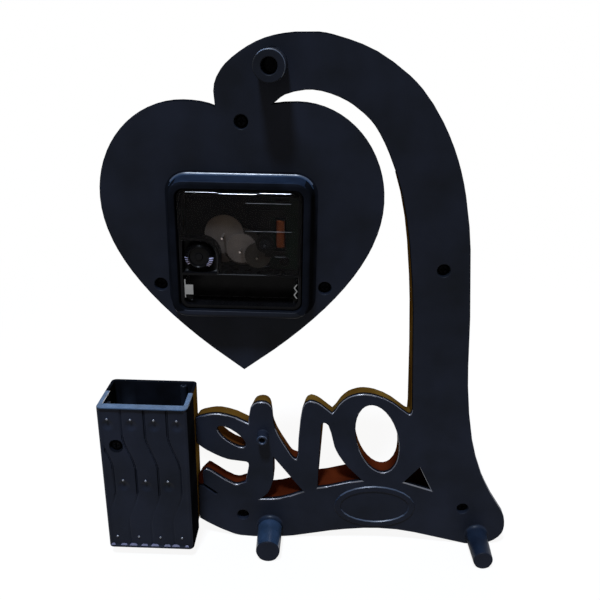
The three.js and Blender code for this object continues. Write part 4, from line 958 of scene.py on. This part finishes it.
# stage
cameraForm = {"at": (35.047, 258.493, 306.358), "lens": 41.25, "sensor": 36.0, "near": 0.01,
              "turn": math.pi + 0.025, "tilt": math.pi / 2 - 0.368, "roll": 0.017}
cameraData = bpy.data.cameras.new("camera")
cameraData.lens = cameraForm["lens"]
cameraData.sensor_width = cameraForm["sensor"]
cameraData.clip_start = cameraForm["near"]
camera = addObject("camera", cameraData)
camera.location = seen(*cameraForm["at"])
camera.rotation_euler = (Matrix.Rotation(cameraForm["turn"], 4, "Z") @ Matrix.Rotation(cameraForm["tilt"], 4, "X")
                         @ Matrix.Rotation(cameraForm["roll"], 4, "Z")).to_euler()
scene.camera = camera


def whereShown(tree):
    # 1 where the paper or the sky is seen, in a reflection or through the lid too, and 0 where it only gives light
    path = addNode(tree, "ShaderNodeLightPath")
    shown = path.outputs["Is Camera Ray"]
    for ray in ("Is Glossy Ray", "Is Transmission Ray"):
        shown = addNode(tree, "ShaderNodeMath", {"operation": "MAXIMUM"}, {0: shown, 1: path.outputs[ray]}).outputs[0]
    return shown


# the camera and reflections see white paper with a soft shadow; what falls back on the clock is a warmer, dimmer light
floorLook = {"reach": 12.0, "colour": "#f6f6f6", "bounce": "#b9a692", "paper": 0.9, "shadowReach": 0.2,
             "whiteFrom": 0.6}
reach = floorLook["reach"]
floorMesh = bpy.data.meshes.new("floor")
corners = [(-reach, -reach, 0), (reach, -reach, 0), (reach, reach, 0), (-reach, reach, 0)]
floorMesh.from_pydata(corners, [], [(0, 1, 2, 3)])
floor = addObject("floor", floorMesh)
floorMaterial, tree = emptyMaterial("paper_white_matt")
shown = whereShown(tree)
place = addNode(tree, "ShaderNodeTexCoord").outputs["Object"]
away = addNode(tree, "ShaderNodeVectorMath", {"operation": "LENGTH"}, {0: place}).outputs["Value"]
fade = addNode(tree, "ShaderNodeMapRange", {"interpolation_type": "SMOOTHSTEP", "From Min": floorLook["shadowReach"],
                                            "From Max": floorLook["whiteFrom"], "To Min": floorLook["paper"]},
               {"Value": away}).outputs["Result"]
whiten = addNode(tree, "ShaderNodeMath", {"operation": "MULTIPLY"}, {0: fade, 1: shown}).outputs[0]
tones = {"data_type": "RGBA", 6: linear(floorLook["bounce"]), 7: linear(floorLook["colour"])}
colour = addNode(tree, "ShaderNodeMix", tones, {0: shown}).outputs[2]
paper = addNode(tree, "ShaderNodeBsdfDiffuse", links={"Color": colour}).outputs["BSDF"]
glow = addNode(tree, "ShaderNodeEmission", {"Color": (1, 1, 1, 1), "Strength": 1.0}).outputs["Emission"]
both = addNode(tree, "ShaderNodeMixShader", links={0: whiten, 1: paper, 2: glow}).outputs["Shader"]
addNode(tree, "ShaderNodeOutputMaterial", links={"Surface": both})
floorMesh.materials.append(floorMaterial)

world = bpy.data.worlds.new("studio")
scene.world = world
world.use_nodes = True
tree = world.node_tree
tree.nodes.clear()
ambient = addNode(tree, "ShaderNodeBackground", {"Color": linear("#efdcc6"), "Strength": 0.35}).outputs[0]
white = addNode(tree, "ShaderNodeBackground", {"Color": (1, 1, 1, 1), "Strength": 1.0}).outputs[0]
both = addNode(tree, "ShaderNodeMixShader", links={0: whereShown(tree), 1: ambient, 2: white}).outputs[0]
addNode(tree, "ShaderNodeOutputWorld", links={"Surface": both})

# the ceiling lamp throws the shadows of the post and the rim; the low room lamp lights the dial side only
lamps = {
    "ceiling": {"at": (0.148, 0.53, 1.30), "size": 0.15, "watts": 22.9, "colour": "#dfecff"},
    "window": {"at": (0.41, -1.16, 0.78), "size": 0.5, "watts": 2.8, "colour": "#93c2ff"},
    "room": {"at": (-0.35, -1.1, 0.28), "size": 0.4, "watts": 7.0, "colour": "#fff3e2"},
}
lampAim = Vector((0, 0, 0.12))
for lampName, lamp in lamps.items():
    light = bpy.data.lights.new(lampName, "AREA")
    light.size = lamp["size"]
    light.energy = lamp["watts"]
    light.color = linear(lamp["colour"])[:3]
    holder = addObject(lampName, light)
    holder.location = lamp["at"]
    holder.rotation_euler = (lampAim - Vector(lamp["at"])).to_track_quat("-Z", "Y").to_euler()

scene.view_settings.view_transform = "Standard"
print("stage ready")
